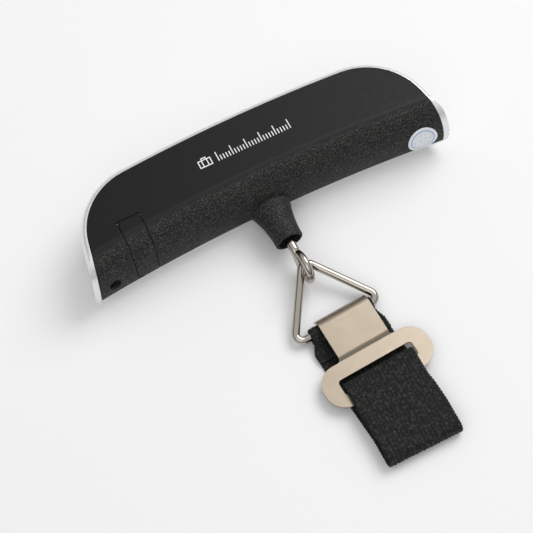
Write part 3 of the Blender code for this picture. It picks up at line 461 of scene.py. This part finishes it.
BLACK, SILVER = black_casing(), silver_paint()
WIRE = nickel("nickel_wire", (0.47, 0.435, 0.385), 0.13, (1.0, 0.25, 1.0), 0.001)
PLATE = nickel("nickel_plate", (0.385, 0.325, 0.258), 0.34, (0.5, 1.0, 1.0), 0.0001)
CLOTH = woven()
INK = moulded("white_ink", (0.80, 0.80, 0.79), 0.5, grain=1500, depth=0.01, spread=0.04)
SLOT_LOOKS = {
    "silver_casing": SILVER,
    "black_casing": BLACK,
    "clear_window": moulded("clear_window", (0.93, 0.96, 0.97), 0.04, grain=200, depth=0.002,
                            spread=0.01, Transmission_Weight=0.92, IOR=1.49),
    "display_glass": moulded("display_glass", (0.33, 0.39, 0.33), 0.16, grain=1500,
                             depth=0.004, spread=0.05),
    "light_guide": moulded("light_guide", (0.80, 0.80, 0.78), 0.4),
    "dark_rubber": moulded("dark_rubber", (0.025, 0.025, 0.026), 0.75, grain=1600, depth=0.03),
    "board": board_green(),
    "steel": moulded("zinc_steel", (0.56, 0.57, 0.58), 0.28, 1.0, grain=1400),
    "aluminium_beam": nickel("milled_aluminium", (0.72, 0.73, 0.74), 0.30, (0.1, 1.0, 1.0), 0.006),
    "brass_foil": moulded("brass_foil", (0.75, 0.56, 0.27), 0.28, 1.0, grain=1600),
    "nylon": moulded("black_nylon", (0.022, 0.022, 0.022), 0.5, grain=1200),
    "nickel_wire": WIRE,
    "nickel_plate": PLATE,
    "webbing": CLOTH,
    "sticker": seal_paper(),
    "wire_red": moulded("wire_red", (0.55, 0.03, 0.02), 0.4, grain=1800),
    "wire_white": moulded("wire_white", (0.78, 0.78, 0.77), 0.4, grain=1800),
    "wire_green": moulded("wire_green", (0.03, 0.32, 0.07), 0.4, grain=1800),
    "wire_black": moulded("wire_black", (0.018, 0.018, 0.018), 0.4, grain=1800),
}

# Every CAD node takes the finish of its slot. Those that are redrawn below are hidden.
for part in frame["record"]["subparts"]:
    node = frame["nodes"][part["node"]]
    node.data.materials.clear()
    node.data.materials.append(SLOT_LOOKS[part["material_slot"]])


# ------------------------------------------------------------------ body shells

def half_moon(grow, fine=True):
    """The body's outline in plan: arch, corner arcs and flared ends."""
    steps = (24, 34, 6) if fine else (10, 14, 2)
    out = Vector((math.cos(END_FLARE), math.sin(END_FLARE)))
    up = Vector((-math.sin(END_FLARE), math.cos(END_FLARE)))
    arch_centre = Vector((0, ARCH_TOP - ARCH_R))
    start = Vector((TIP_X, TIP_Y)) - CORNER_R * out - arch_centre
    along = start.dot(up)
    reach = -along + math.sqrt(along**2 - start.length_squared + (ARCH_R - CORNER_R)**2)
    corner = arch_centre + start + reach * up
    meet = math.degrees(math.atan2((corner - arch_centre).y, (corner - arch_centre).x))
    arch = arc(*arch_centre, ARCH_R + grow, ARCH_R + grow, 90, meet, steps[0])
    bend = arc(*corner, CORNER_R + grow, CORNER_R + grow, meet, math.degrees(END_FLARE),
               steps[1])
    end = Vector(bend[-1])
    drop = (end.y - LOW_Y) / math.cos(END_FLARE)
    line = [tuple(end - up * drop * (k + 1) / steps[2]) for k in range(steps[2])]
    right = arch + bend[1:] + line
    return [(-x, y) for x, y in reversed(right)] + right[1:]


def pillow(inset, fine=True):
    """Everything inside the half-moon: flat top and bottom, rounded rim and belly."""
    levels = []
    rim_run, rim_drop = RIM_RUN - inset, RIM_DROP - inset
    belly_run, belly_drop = BELLY_RUN - inset, BELLY_DROP - inset
    steps = 14 if fine else 6
    for k in range(steps + 1):
        turn = math.radians(90 * k / steps)
        levels.append((inset + belly_drop * (1 - math.cos(turn)),
                       RIM - inset - belly_run * (1 - math.sin(turn))))
    for k in range(steps + 1):
        turn = math.radians(90 * k / steps)
        levels.append((BODY_H - inset - rim_drop * (1 - math.sin(turn)),
                       RIM - inset - rim_run * (1 - math.cos(turn))))
    bm = bmesh.new()
    rings = [[bm.verts.new((x, y, z)) for x, y in half_moon(grow, fine)]
             for z, grow in levels]
    for low, high in zip(rings, rings[1:]):
        for i in range(len(low)):
            j = (i + 1) % len(low)
            bm.faces.new((low[i], low[j], high[j], high[i]))
    bm.faces.new(rings[0])
    bm.faces.new(rings[-1])
    return mesh_of(bm)


def swept_section(inset, fine=True):
    """The body's cross-section carried along the flat arc of the lower contour."""
    far, over = ARCH_TOP + 12 * MM, BODY_H + 2 * MM
    shoulder = arc(SHOULDER_RUN, CONTOUR_Z, SHOULDER_RUN - inset, SHOULDER_RISE - inset,
                   90, 180, 32 if fine else 14)
    chin = arc(CHIN_RUN, CONTOUR_Z, CHIN_RUN - inset, CHIN_DROP - inset, 180, 270,
               14 if fine else 7)
    section = [(SHOULDER_RUN, over)] + shoulder + chin[1:] + [(CHIN_RUN, -2 * MM)]
    section += [(far, -2 * MM), (far, over)]
    half = math.asin(90 * MM / CONTOUR_R)
    steps = 72 if fine else 24
    bm = bmesh.new()
    rings = []
    for k in range(steps + 1):
        turn = half - 2 * half * k / steps
        rings.append([bm.verts.new((-math.sin(turn) * (y + CONTOUR_R),
                                    math.cos(turn) * (y + CONTOUR_R) - CONTOUR_R, z))
                      for y, z in section])
    for low, high in zip(rings, rings[1:]):
        for i in range(len(low)):
            j = (i + 1) % len(low)
            bm.faces.new((low[i], low[j], high[j], high[i]))
    bm.faces.new(rings[0])
    bm.faces.new(rings[-1])
    return mesh_of(bm)


def envelope(inset, fine=True):
    return solved(pillow(inset, fine), [("INTERSECT", swept_section(inset, fine))])


def shell_prism(grow, low, fine=True):
    return slab(half_moon(grow, fine), low, BODY_H + 3 * MM)


def turned(profile, steps):
    """A profile of (radius, y) pairs turned about the hook's axis."""
    bm = bmesh.new()
    rings = []
    for r, y in profile:
        if r < 1e-7:
            rings.append([bm.verts.new((0, y, AXIS_Z))] * steps)
            continue
        rings.append([bm.verts.new((r * math.cos(2 * math.pi * k / steps), y,
                                    AXIS_Z + r * math.sin(2 * math.pi * k / steps)))
                      for k in range(steps)])
    for low, high in zip(rings, rings[1:]):
        for i in range(steps):
            j = (i + 1) % steps
            loop = list(dict.fromkeys((low[i], low[j], high[j], high[i])))
            bm.faces.new(loop)
    return mesh_of(bm)


def nozzle_profile(grow):
    points = [(0.0, 3.2 * MM + grow), (5.0 * MM + grow, 3.0 * MM + grow),
              (7.6 * MM + grow, 1.9 * MM + grow)]
    for i in range(29):
        d = i / 28
        radius = MOUTH_R + (ROOT_R - MOUTH_R) * (1 - d)**2.2
        points.append((radius + grow, -NOZZLE_LEN * d * 0.97))
    for k in range(1, 6):
        turn = math.radians(90 * k / 5)
        points.append((MOUTH_R - 0.5 * MM * (1 - math.cos(turn)) + grow,
                       -NOZZLE_LEN * 0.97 - 0.483 * MM * math.sin(turn) - grow))
    return points + [(0.0, -NOZZLE_LEN - grow)]


def door_outline(grow):
    x0, x1 = DOOR_X0 - grow, DOOR_X1 + grow
    top, r = DOOR_PIVOT.y, 2.4 * MM + grow
    return ([(x0, -12 * MM), (x1, -12 * MM)] + arc(x1 - r, top - r + grow, r, r, 0, 90, 12)
            + arc(x0 + r, top - r + grow, r, r, 90, 180, 12))


def build_shells():
    outer = envelope(0)
    inner = envelope(WALL, False)
    steps = [("INTERSECT", outer), ("DIFFERENCE", inner)]
    for side in (-1, 1):
        at = (side * CASE_SCREW_X, 0, CASE_SCREW_Z)
        steps += [("UNION", rod(at, 3.7 * MM, -1.9 * MM, 6 * MM, "Y")),
                  ("DIFFERENCE", rod(at, CASE_HOLE_R, -8 * MM, 4.5 * MM, "Y")),
                  ("DIFFERENCE", rod(at, 1.5 * MM, 4 * MM, 8 * MM, "Y", 24))]
    steps += [("UNION", turned(nozzle_profile(0), 96)),
              ("DIFFERENCE", rod((0, 0, AXIS_Z), BORE_R, -20 * MM, 6 * MM, "Y"))]
    steps += [("DIFFERENCE", slab(door_outline(GAP), 4 * MM, 32 * MM)),
              ("DIFFERENCE", rod(DOOR_PIVOT, KNUCKLE_ROOM_R, DOOR_X0 - GAP,
                                 DOOR_X1 + GAP, "X", 24)),
              ("DIFFERENCE", rod(DOOR_PIVOT, PIN_WAY_R, DOOR_X0 - 1.8 * MM,
                                 DOOR_X1 + 1.8 * MM, "X", 16))]
    rear = solved(shell_prism(0, PART_Z), steps)
    piece("rear_cover", rear, "scale_body", BLACK, ("rear_shell",),
          bevel=0.16 * MM)

    steps = [("INTERSECT", swept_section(0)), ("DIFFERENCE", inner),
             ("DIFFERENCE", shell_prism(GAP, PART_Z - GAP, False))]
    for side in (-1, 1):
        at = (side * CASE_SCREW_X, 0, CASE_SCREW_Z)
        beam = (side * 22 * MM, 7.1 * MM, 0)
        post = (side * 37 * MM, 29.1 * MM, 0)
        steps += [("UNION", rod(at, 3.1 * MM, 6.4 * MM, 20.2 * MM, "Y", 32)),
                  ("DIFFERENCE", rod(at, 1.5 * MM, 5 * MM, 16 * MM, "Y", 24)),
                  ("UNION", rod(beam, 3 * MM, 1 * MM, 6.1 * MM, segments=32)),
                  ("DIFFERENCE", rod(beam, 1.75 * MM, 2.2 * MM, 8 * MM, segments=24)),
                  ("UNION", rod(post, 2 * MM, 0.8 * MM, 6.2 * MM, segments=24)),
                  ("DIFFERENCE", rod(post, 1.1 * MM, 2.6 * MM, 8 * MM, segments=20))]
    steps += [("DIFFERENCE", turned(nozzle_profile(GAP), 64)),
              ("DIFFERENCE", slab(rounded_rect(0, DISPLAY_Y, WINDOW_W + 2 * GAP,
                                               WINDOW_L + 2 * GAP, 2.3 * MM),
                                  -1 * MM, 1.35 * MM)),
              ("DIFFERENCE", slab(rounded_rect(0, DISPLAY_Y, WINDOW_W - 5 * MM,
                                               WINDOW_L - 3.4 * MM, 1 * MM),
                                  -1 * MM, 3 * MM))]
    for side in (-1, 1):
        steps.append(("DIFFERENCE", slab(rounded_rect(
            side * BUTTON_X, DISPLAY_Y, BUTTON_W, BUTTON_L, BUTTON_L / 2 - 0.01 * MM, 16),
            -1 * MM, 3 * MM)))
    front = solved(pillow(0), steps)
    piece("front_casing", front, "scale_body", SILVER, ("front_shell",),
          sharp=50)

    door = solved(slab(door_outline(0), PART_Z, BODY_H + 3 * MM), [
        ("INTERSECT", outer), ("DIFFERENCE", inner),
        ("UNION", rod(DOOR_PIVOT, KNUCKLE_R, DOOR_X0 + 0.05 * MM, DOOR_X1 - 0.05 * MM, "X", 32)),
        ("DIFFERENCE", rod(DOOR_PIVOT, PIN_WAY_R, DOOR_X0 - 1 * MM, DOOR_X1 + 1 * MM, "X",
                           16)),
        ("DIFFERENCE", rod((DOOR_X0 + 1.2 * MM, 0, 9.2 * MM), 1 * MM, -6 * MM, -1.9 * MM,
                           "Y", 32))])
    piece("battery_cover", door, "door", BLACK, ("battery_door",),
          bevel=0.2 * MM)

    seal = solved(rod((STICKER_X, 0, STICKER_Z), STICKER_R, -14 * MM, 8 * MM, "Y", 96), [
        ("INTERSECT", swept_section(-0.42 * MM)), ("DIFFERENCE", swept_section(-0.3 * MM))])
    piece("round_seal", seal, "scale_body", SLOT_LOOKS["sticker"], ("round_sticker",))


# ------------------------------------------------------------------ printed marks

def join_meshes(meshes):
    bm = bmesh.new()
    for mesh in meshes:
        bm.from_mesh(mesh)
    return mesh_of(bm)


def build_marks():
    """A generic bag pictogram and a run of graduation ticks on the plain back."""
    low, high = BODY_H - 0.01 * MM, BODY_H + 0.03 * MM
    base = 20.4 * MM
    marks = []
    bar = (0.45 * MM, 4.3 * MM)

    def box(x0, x1, y0, y1):
        marks.append(block((x0, x1), (base + y0, base + y1), (low, high)))

    left = -20.5 * MM
    box(left, left + 5.6 * MM, 0, bar[0])
    box(left, left + 5.6 * MM, 3.0 * MM, 3.0 * MM + bar[0])
    for x in (left, left + 1.5 * MM, left + 3.65 * MM, left + 5.6 * MM - bar[0]):
        box(x, x + bar[0], bar[0] * 0.98, 3.02 * MM)
    for x in (left + 1.7 * MM, left + 3.45 * MM):
        box(x, x + bar[0], 3.42 * MM, bar[1] - bar[0] * 0.98)
    box(left + 1.7 * MM, left + 3.9 * MM, bar[1] - bar[0], bar[1])
    start, count, pitch = -12.5 * MM, 26, 1.27 * MM
    for k in range(count):
        height = 4.3 if k % 5 == 0 else 2.2
        x = start + k * pitch
        box(x, x + 0.42 * MM, 0, height * MM)
    piece("printed_ticks", join_meshes(marks), "scale_body", INK, sharp=30)


SEGMENTS = {"a": (0.5, 1.0, 0), "b": (1.0, 0.75, 1), "c": (1.0, 0.25, 1), "d": (0.5, 0.0, 0),
            "e": (0.0, 0.25, 1), "f": (0.0, 0.75, 1), "g": (0.5, 0.5, 0)}


def build_display():
    """Faint unlit segments on the display, and a pictogram on each button."""
    width, height, thick = 4.4 * MM, 8.0 * MM, 0.75 * MM
    parts = []
    for k in range(4):
        x0 = (9.6 - 6.4 * k - (1.4 if k > 2 else 0)) * MM
        for u, v, upright in SEGMENTS.values():
            cx = -(x0 - u * width)
            cy = DISPLAY_Y + (v - 0.5) * height
            half = (thick / 2, height / 4 - thick * 0.6) if upright else (
                width / 2 - thick * 0.6, thick / 2)
            parts.append(slab(rounded_rect(cx, cy, half[0] * 2, half[1] * 2, thick * 0.45, 4),
                              2.03 * MM, 2.09 * MM))
    ghost = moulded("unlit_segments", (0.20, 0.245, 0.20), 0.3, grain=1500, depth=0.003)
    piece("display_segments", join_meshes(parts), "scale_body", ghost, sharp=30)
    for tag, side in (("power", -1), ("unit", 1)):
        x = side * BUTTON_X
        if tag == "power":
            ring = arc(x, DISPLAY_Y, 1.9 * MM, 1.9 * MM, 125, 415, 30)
            ring += arc(x, DISPLAY_Y, 1.45 * MM, 1.45 * MM, 415, 125, 30)
            bits = [slab(ring, 0.31 * MM, 0.36 * MM),
                    block((x - 0.22 * MM, x + 0.22 * MM),
                          (DISPLAY_Y + 0.6 * MM, DISPLAY_Y + 2.5 * MM), (0.31 * MM, 0.36 * MM))]
        else:
            bits = []
            for flip in (-1, 1):
                outline = [(x - 1.9 * MM, DISPLAY_Y + flip * 0.55 * MM),
                           (x + 1.9 * MM, DISPLAY_Y + flip * 0.55 * MM),
                           (x + flip * 0.9 * MM, DISPLAY_Y + flip * 1.75 * MM)]
                bits.append(slab(outline, 0.31 * MM, 0.36 * MM))
        body = tag + "_button"
        piece(body + "_mark", join_meshes(bits), body, moulded(
            body + "_ink", (0.10, 0.10, 0.11), 0.5, grain=1500, depth=0.01), sharp=30)


# ------------------------------------------------------------------ hook and ring

def build_hook():
    shank_end, neck = 15.2 * MM, EYE_Y + EYE_R + 3.6 * MM
    points = [Vector((0, y, AXIS_Z)) for y in (shank_end, 0, -10 * MM)]
    radii = [SHANK_R / EYE_WIRE_R] * 3
    entry, leave = math.radians(46), math.radians(326)
    joint = Vector((0, EYE_Y + EYE_R * math.cos(entry), AXIS_Z - EYE_R * math.sin(entry)))
    heading = Vector((0, -math.sin(entry), -math.cos(entry)))
    start = Vector((0, neck, AXIS_Z))
    points += bezier(start, start + Vector((0, -2.6 * MM, 0)), joint - heading * 1.8 * MM,
                     joint, 20)
    radii += [SHANK_R / EYE_WIRE_R * (1 - k / 20) + k / 20 for k in range(21)]
    for k in range(1, 73):
        angle = entry + (leave - entry) * k / 72
        points.append(Vector((0, EYE_Y + EYE_R * math.cos(angle),
                              AXIS_Z - EYE_R * math.sin(angle))))
        radii.append(1.0)
    piece("hook_wire", tube(points, EYE_WIRE_R, radii), "hook", WIRE, ("eye_hook",),
          bevel=0.2 * MM)


def ring_pose():
    slope = math.asin((RING_APEX.z - BAR_Z) / RING_H)
    turn = Matrix.Rotation(RING_TURN, 4, "Z") @ Matrix.Rotation(slope, 4, "X")
    return Matrix.Translation(RING_APEX) @ turn


def run(points, step):
    """The same line with extra points, no further apart than step."""
    out = []
    for a, b in zip(points, points[1:] + points[:1]):
        count = max(1, round((b - a).length / step))
        out += [a.lerp(b, k / count) for k in range(count)]
    return out


def build_ring():
    side = RING_HALF_APEX
    line = arc(0, -RING_APEX_R, RING_APEX_R, RING_APEX_R, side, 180 - side, 16)
    x, y = RING_HALF_W - RING_WIRE_R - RING_CORNER_R, -RING_H + RING_CORNER_R
    line += arc(-x, y, RING_CORNER_R, RING_CORNER_R, 180 - side, 270, 18)
    line += arc(x, y, RING_CORNER_R, RING_CORNER_R, -90, side, 18)
    pose = ring_pose()
    points = run([pose @ Vector((a, b, 0)) for a, b in line], 1.2 * MM)
    piece("wire_ring", tube(points, RING_WIRE_R, closed=True), "ring", WIRE,
          ("triangle_ring",), sharp=120)


BAR = ring_pose() @ Vector((0, -RING_H, 0))


# ------------------------------------------------------------------ buckle

def outer_bar():
    reach = TONGUE_L + JOG_L + PLATE_L - (PLATE_L - SLOT_FROM - SLOT_L) / 2
    spot = BAR + Matrix.Rotation(RING_TURN, 3, "Z") @ Vector((PLATE_SHIFT, -reach, 0))
    spot.z = PLATE_Z
    return spot


def eased(points, radius, steps=5):
    """A line with its inner corners rounded."""
    out = [points[0]]
    for before, here, after in zip(points, points[1:], points[2:]):
        a, b, c = Vector(before), Vector(here), Vector(after)
        reach = min(radius, (a - b).length * 0.45, (c - b).length * 0.45)
        p, q = b + (a - b).normalized() * reach, b + (c - b).normalized() * reach
        for k in range(steps + 1):
            t = k / steps
            out.append(tuple(p * (1 - t)**2 + b * 2 * t * (1 - t) + q * t * t))
    return out + [points[-1]]


def build_buckle():
    mid = RING_WIRE_R + WEB_T + 2 * GAP + SHEET_T / 2
    slope = 5.0
    low = BAR_Z + mid - TONGUE_L * math.tan(math.radians(slope))
    hook = arc(0, BAR_Z, mid, mid, 6, 90 + slope, 26)
    rest = [hook[-1], (-TONGUE_L, low), (-TONGUE_L - JOG_L * 0.85, PLATE_Z),
            (-TONGUE_L - JOG_L - PLATE_L - 1 * MM, PLATE_Z)]
    centre = hook[:-1] + eased(rest, 0.3 * MM)
    above, below = [], []
    for i, point in enumerate(centre):
        before = Vector(centre[max(0, i - 1)])
        after = Vector(centre[min(len(centre) - 1, i + 1)])
        along = (after - before).normalized()
        side = Vector((-along.y, along.x)) * SHEET_T / 2
        below.append(tuple(Vector(point) + side))
        above.append(tuple(Vector(point) - side))
    place = Matrix.Translation((BAR.x, BAR.y, 0)) @ Matrix.Rotation(RING_TURN, 4, "Z")
    place = place @ Matrix.Translation((PLATE_SHIFT, 0, 0))
    half_t, half_p, fillet, corner = TONGUE_W / 2, PLATE_W / 2, 1.3 * MM, 8.4 * MM
    shoulder = -TONGUE_L - JOG_L
    end = shoulder - PLATE_L
    right = [(half_t, 8 * MM)]
    right += arc(half_t + fillet, shoulder + fillet, fillet, fillet, 180, 270, 12)
    right += arc(half_p - corner, shoulder - corner, corner, corner, 90, 0, 28)
    right += arc(half_p - corner, end + corner, corner, corner, 0, -90, 28)
    plan = slab(right + [(-x, y) for x, y in reversed(right)], -3 * MM, 12 * MM)
    slot_y = shoulder - SLOT_FROM - SLOT_L / 2
    slot = slab(rounded_rect(0, slot_y, SLOT_W, SLOT_L, 1.6 * MM, 12), -3 * MM, 12 * MM)
    bent = slab(above + below[::-1], -PLATE_W / 2 - 2 * MM, PLATE_W / 2 + 2 * MM, "X")
    plate = solved(bent, [("INTERSECT", plan), ("DIFFERENCE", slot)])
    plate.transform(place)
    piece("bent_plate", plate, "buckle", PLATE, ("buckle",),
          bevel=0.17 * MM, sharp=40)


# ------------------------------------------------------------------ webbing

ROW, COLUMN = 1.3 * MM, 1.6 * MM          # weft pitch along the strap, warp pitch across
STEP_S, STEP_U = ROW / 6, COLUMN / 6
YARN = 0.32 * MM                          # how far the yarns stand out
CORE = WEB_T / 2 - YARN                   # half thickness between the yarns' crowns


def resampled(points, step):
    """The line at even steps, with the length along it."""
    lengths = [0.0]
    for a, b in zip(points, points[1:]):
        lengths.append(lengths[-1] + math.dist(a, b))
    count = max(2, round(lengths[-1] / step))
    out, k = [], 0
    for i in range(count + 1):
        want = lengths[-1] * i / count
        while k < len(points) - 2 and lengths[k + 1] < want:
            k += 1
        span = lengths[k + 1] - lengths[k]
        t = (want - lengths[k]) / span if span else 0.0
        out.append(((points[k][0] * (1 - t) + points[k + 1][0] * t,
                     points[k][1] * (1 - t) + points[k + 1][1] * t), want))
    return out, lengths[-1]


def crown(u, s, face):
    """Height of the yarns at a place: offset cells, each a little different."""
    column = math.floor(u / COLUMN)
    along = s / ROW + (0.5 if column % 2 else 0.0)
    row = math.floor(along)
    across = (u / COLUMN - column)
    shape = (max(0.0, math.sin(math.pi * across))**0.55
             * max(0.0, math.sin(math.pi * (along - row)))**0.7)
    wild = noise.noise(Vector((column * 1.7 + face * 31, row * 0.83, 5.2)))
    return shape * (0.78 + 0.5 * wild)


def strip(name, line, start, placed):
    """A length of webbing along a side-view line, with woven faces and edges."""
    samples, length = resampled(line, STEP_S)
    across = round(WEB_W / STEP_U)
    bm = bmesh.new()
    rings = []
    for i, ((y, z), s) in enumerate(samples):
        before = Vector(samples[max(0, i - 1)][0])
        after = Vector(samples[min(len(samples) - 1, i + 1)][0])
        along = (after - before).normalized()
        normal = Vector((-along.y, along.x))
        place = start + s
        ring = []
        for face, order in ((1, range(across + 1)), (-1, range(across, -1, -1))):
            for k in order:
                u = -WEB_W / 2 + k * STEP_U
                edge = min(1.0, (WEB_W / 2 - abs(u)) / (0.8 * MM))
                round_off = math.sqrt(max(0.0, 1 - (1 - edge)**2)) * 0.82 + 0.18
                lift = (CORE + YARN * crown(u + 100 * COLUMN, place, face)) * round_off
                tooth = 0.22 * MM * abs(math.sin(math.pi * place / ROW)) * (1 - edge)
                wave = 0.12 * MM * noise.noise(Vector((u * 90, place * 70, 1.5)))
                x = u + math.copysign(tooth, u) * (1 if abs(u) > 0.1 * MM else 0)
                x += 0.25 * MM * noise.noise(Vector((place * 45, 3.3, 0.2)))
                spot = Vector((y, z)) + normal * (face * lift + wave * face * 0.4)
                ring.append(bm.verts.new((x, spot.x, max(spot.y, 0.02 * MM))))
        rings.append(ring)
    for low, high in zip(rings, rings[1:]):
        for i in range(len(low)):
            j = (i + 1) % len(low)
            bm.faces.new((low[i], low[j], high[j], high[i]))
    for ring in (rings[0], rings[-1]):
        half = len(ring) // 2
        for i in range(half - 1):
            cap = bm.faces.new((ring[i], ring[i + 1], ring[-i - 2], ring[-i - 1]))
            for edge in cap.edges:
                edge.smooth = False
    placed(bm.verts)
    mesh = mesh_of(bm, name)
    return mesh, length


def laid(start, end, pinch):
    """Narrows straight webbing where it passes a bar, then lays it along the strap."""
    (x0, y0, skew0), (x1, y1, skew1) = start, end
    centre, reach, width = pinch

    def move(verts):
        for vert in verts:
            far = min(1.0, max(0.0, (abs(vert.co.y - centre) - reach) / PINCH_RUN))
            vert.co.x *= (width + (WEB_W - width) * far) / WEB_W
            share = min(1.0, max(0.0, (y0 - vert.co.y) / (y0 - y1)))
            skew = skew0 + (skew1 - skew0) * share
            vert.co.y += vert.co.x * math.tan(skew)
            vert.co.x += x0 + (x1 - x0) * share
    return move


def build_webbing():
    out = outer_bar()
    laid_to = (STRAP_X, FOLD_Y + 10 * MM, 0.0)
    at_ring = laid((BAR.x + LOOP_SHIFT, BAR.y - 4 * MM, RING_TURN), laid_to,
                   (BAR.y, 3 * MM, LOOP_W))
    at_slot = laid((out.x + SLOT_SHIFT, out.y - 6 * MM, RING_TURN), laid_to,
                   (out.y, 6 * MM, SLOT_WEB_W))
    half, seam = WEB_T / 2, FOLD_Y + 9 * MM
    turn = RING_WIRE_R + GAP + half
    tail_z = 3 * half
    lower = eased([(BAR.y - 11.5 * MM, tail_z), (BAR.y - 6.5 * MM, tail_z),
                   (BAR.y - 3.2 * MM, 3.9 * MM),
                   (BAR.y + turn * math.cos(math.radians(108)),
                    BAR_Z + turn * math.sin(math.radians(108)))], 2 * MM)
    lower += arc(BAR.y, BAR_Z, turn, turn, 100, -90, 40)
    lower += [(seam, half)]
    fold = [(seam, half)] + arc(FOLD_Y, FOLD_R, FOLD_R - half, FOLD_R - half, 270, 90, 30)
    fold += [(seam, 2 * FOLD_R - half)]
    r = LOOP_ROOM_Z + half
    top = out.z + r
    upper = [(seam, 2 * FOLD_R - half), (seam + 6 * MM, 2 * FOLD_R - half),
             (out.y - LOOP_BACK, top)]
    upper += arc(out.y + LOOP_FRONT, out.z, r, r, 90, -90, 30)
    upper += eased([(out.y + LOOP_FRONT - 0.2 * MM, out.z - r), (out.y - LOOP_BACK, out.z - r),
                    (out.y - LOOP_BACK - 3.2 * MM, 4.4 * MM), (out.y - 9 * MM, 5.2 * MM),
                    (out.y - 19 * MM, 5.2 * MM)], 2 * MM)
    lengths = []
    done = 0.0
    for name, line, placed, body, node in (
            ("webbing_lower", lower, at_ring, "strap", "strap_lower"),
            ("webbing_fold", fold, at_ring, None, None),
            ("webbing_upper", upper, at_slot, "strap_end", "strap_upper")):
        mesh, length = strip(name, line, done, placed)
        done += length
        lengths.append(length)
        obj = bpy.data.objects.new(name, mesh)
        bpy.context.scene.collection.objects.link(obj)
        mesh.transform(Matrix.Translation((0, CONTOUR_Y, 0)))
        mesh.materials.append(CLOTH)
        mesh.shade_smooth()
        if body:
            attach(obj, body)
            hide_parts(node)
        else:
            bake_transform(obj)
    print("webbing lengths, mm:", [round(v / MM, 1) for v in lengths],
          "in all", round(done / MM, 1))


# ------------------------------------------------------------------ studio

LOOK_AT = Vector((-0.0112, 0.02125, 0.0))
AZIMUTH, ELEVATION = math.radians(-27.5), math.radians(66)
DISTANCE, LENS = 0.84, 2100 / 533 * 36


def back_vector(azimuth, elevation):
    return Vector((math.sin(azimuth) * math.cos(elevation),
                   -math.cos(azimuth) * math.cos(elevation), math.sin(elevation)))


def build_camera():
    data = bpy.data.cameras.new("camera")
    data.sensor_width, data.lens = 36, LENS
    cam = bpy.data.objects.new("camera", data)
    bpy.context.scene.collection.objects.link(cam)
    back = back_vector(AZIMUTH, ELEVATION)
    cam.location = LOOK_AT + back * DISTANCE
    cam.rotation_mode = "QUATERNION"
    cam.rotation_quaternion = (-back).to_track_quat("-Z", "Y")
    data.clip_start, data.clip_end = 0.01, 20
    bpy.context.scene.camera = cam


def area_light(name, direction, distance, size, power, colour=(1, 1, 1)):
    data = bpy.data.lights.new(name, "AREA")
    data.shape, data.size, data.energy, data.color = "DISK", size, power, colour
    obj = bpy.data.objects.new(name, data)
    bpy.context.scene.collection.objects.link(obj)
    toward = Vector(direction).normalized()
    obj.location = toward * distance
    obj.rotation_mode = "QUATERNION"
    obj.rotation_quaternion = toward.to_track_quat("Z", "Y")


def build_studio():
    mesh = bpy.data.meshes.new("floor")
    mesh.from_pydata([(-3, -3, 0), (3, -3, 0), (3, 3, 0), (-3, 3, 0)], [], [(0, 1, 2, 3)])
    floor = bpy.data.objects.new("floor", mesh)
    bpy.context.scene.collection.objects.link(floor)
    pale = Look("floor_paper", (0.90, 0.90, 0.905), 0.85)
    pale.colour(pale.mixed(pale.noise(8, 2), (0.895, 0.895, 0.90), (0.905, 0.905, 0.91)))
    mesh.materials.append(pale.mat)
    area_light("key", (0.75, 0.35, 1.0), 1.5, 1.1, 11)
    area_light("fill", (-0.6, -0.7, 1.1), 1.8, 1.4, 3.2, (1.0, 0.99, 0.98))
    world = bpy.data.worlds.new("studio")
    world.use_nodes = True
    tree = world.node_tree
    sky = tree.nodes["Background"]
    place = tree.nodes.new("ShaderNodeTexCoord")
    split = tree.nodes.new("ShaderNodeSeparateXYZ")
    ramp = tree.nodes.new("ShaderNodeValToRGB")
    tree.links.new(place.outputs["Generated"], split.inputs[0])
    tree.links.new(split.outputs["Z"], ramp.inputs["Fac"])
    tree.links.new(ramp.outputs["Color"], sky.inputs["Color"])
    ramp.color_ramp.elements[0].position = 0.02
    ramp.color_ramp.elements[0].color = (0.10, 0.10, 0.105, 1)
    ramp.color_ramp.elements[1].position = 0.75
    ramp.color_ramp.elements[1].color = (1.0, 1.0, 1.0, 1)
    sky.inputs["Strength"].default_value = 0.74
    bpy.context.scene.world = world
    bpy.context.scene.view_settings.view_transform = "Standard"


build_camera()
build_studio()
build_shells()
build_marks()
build_display()
build_hook()
build_ring()
build_buckle()
build_webbing()
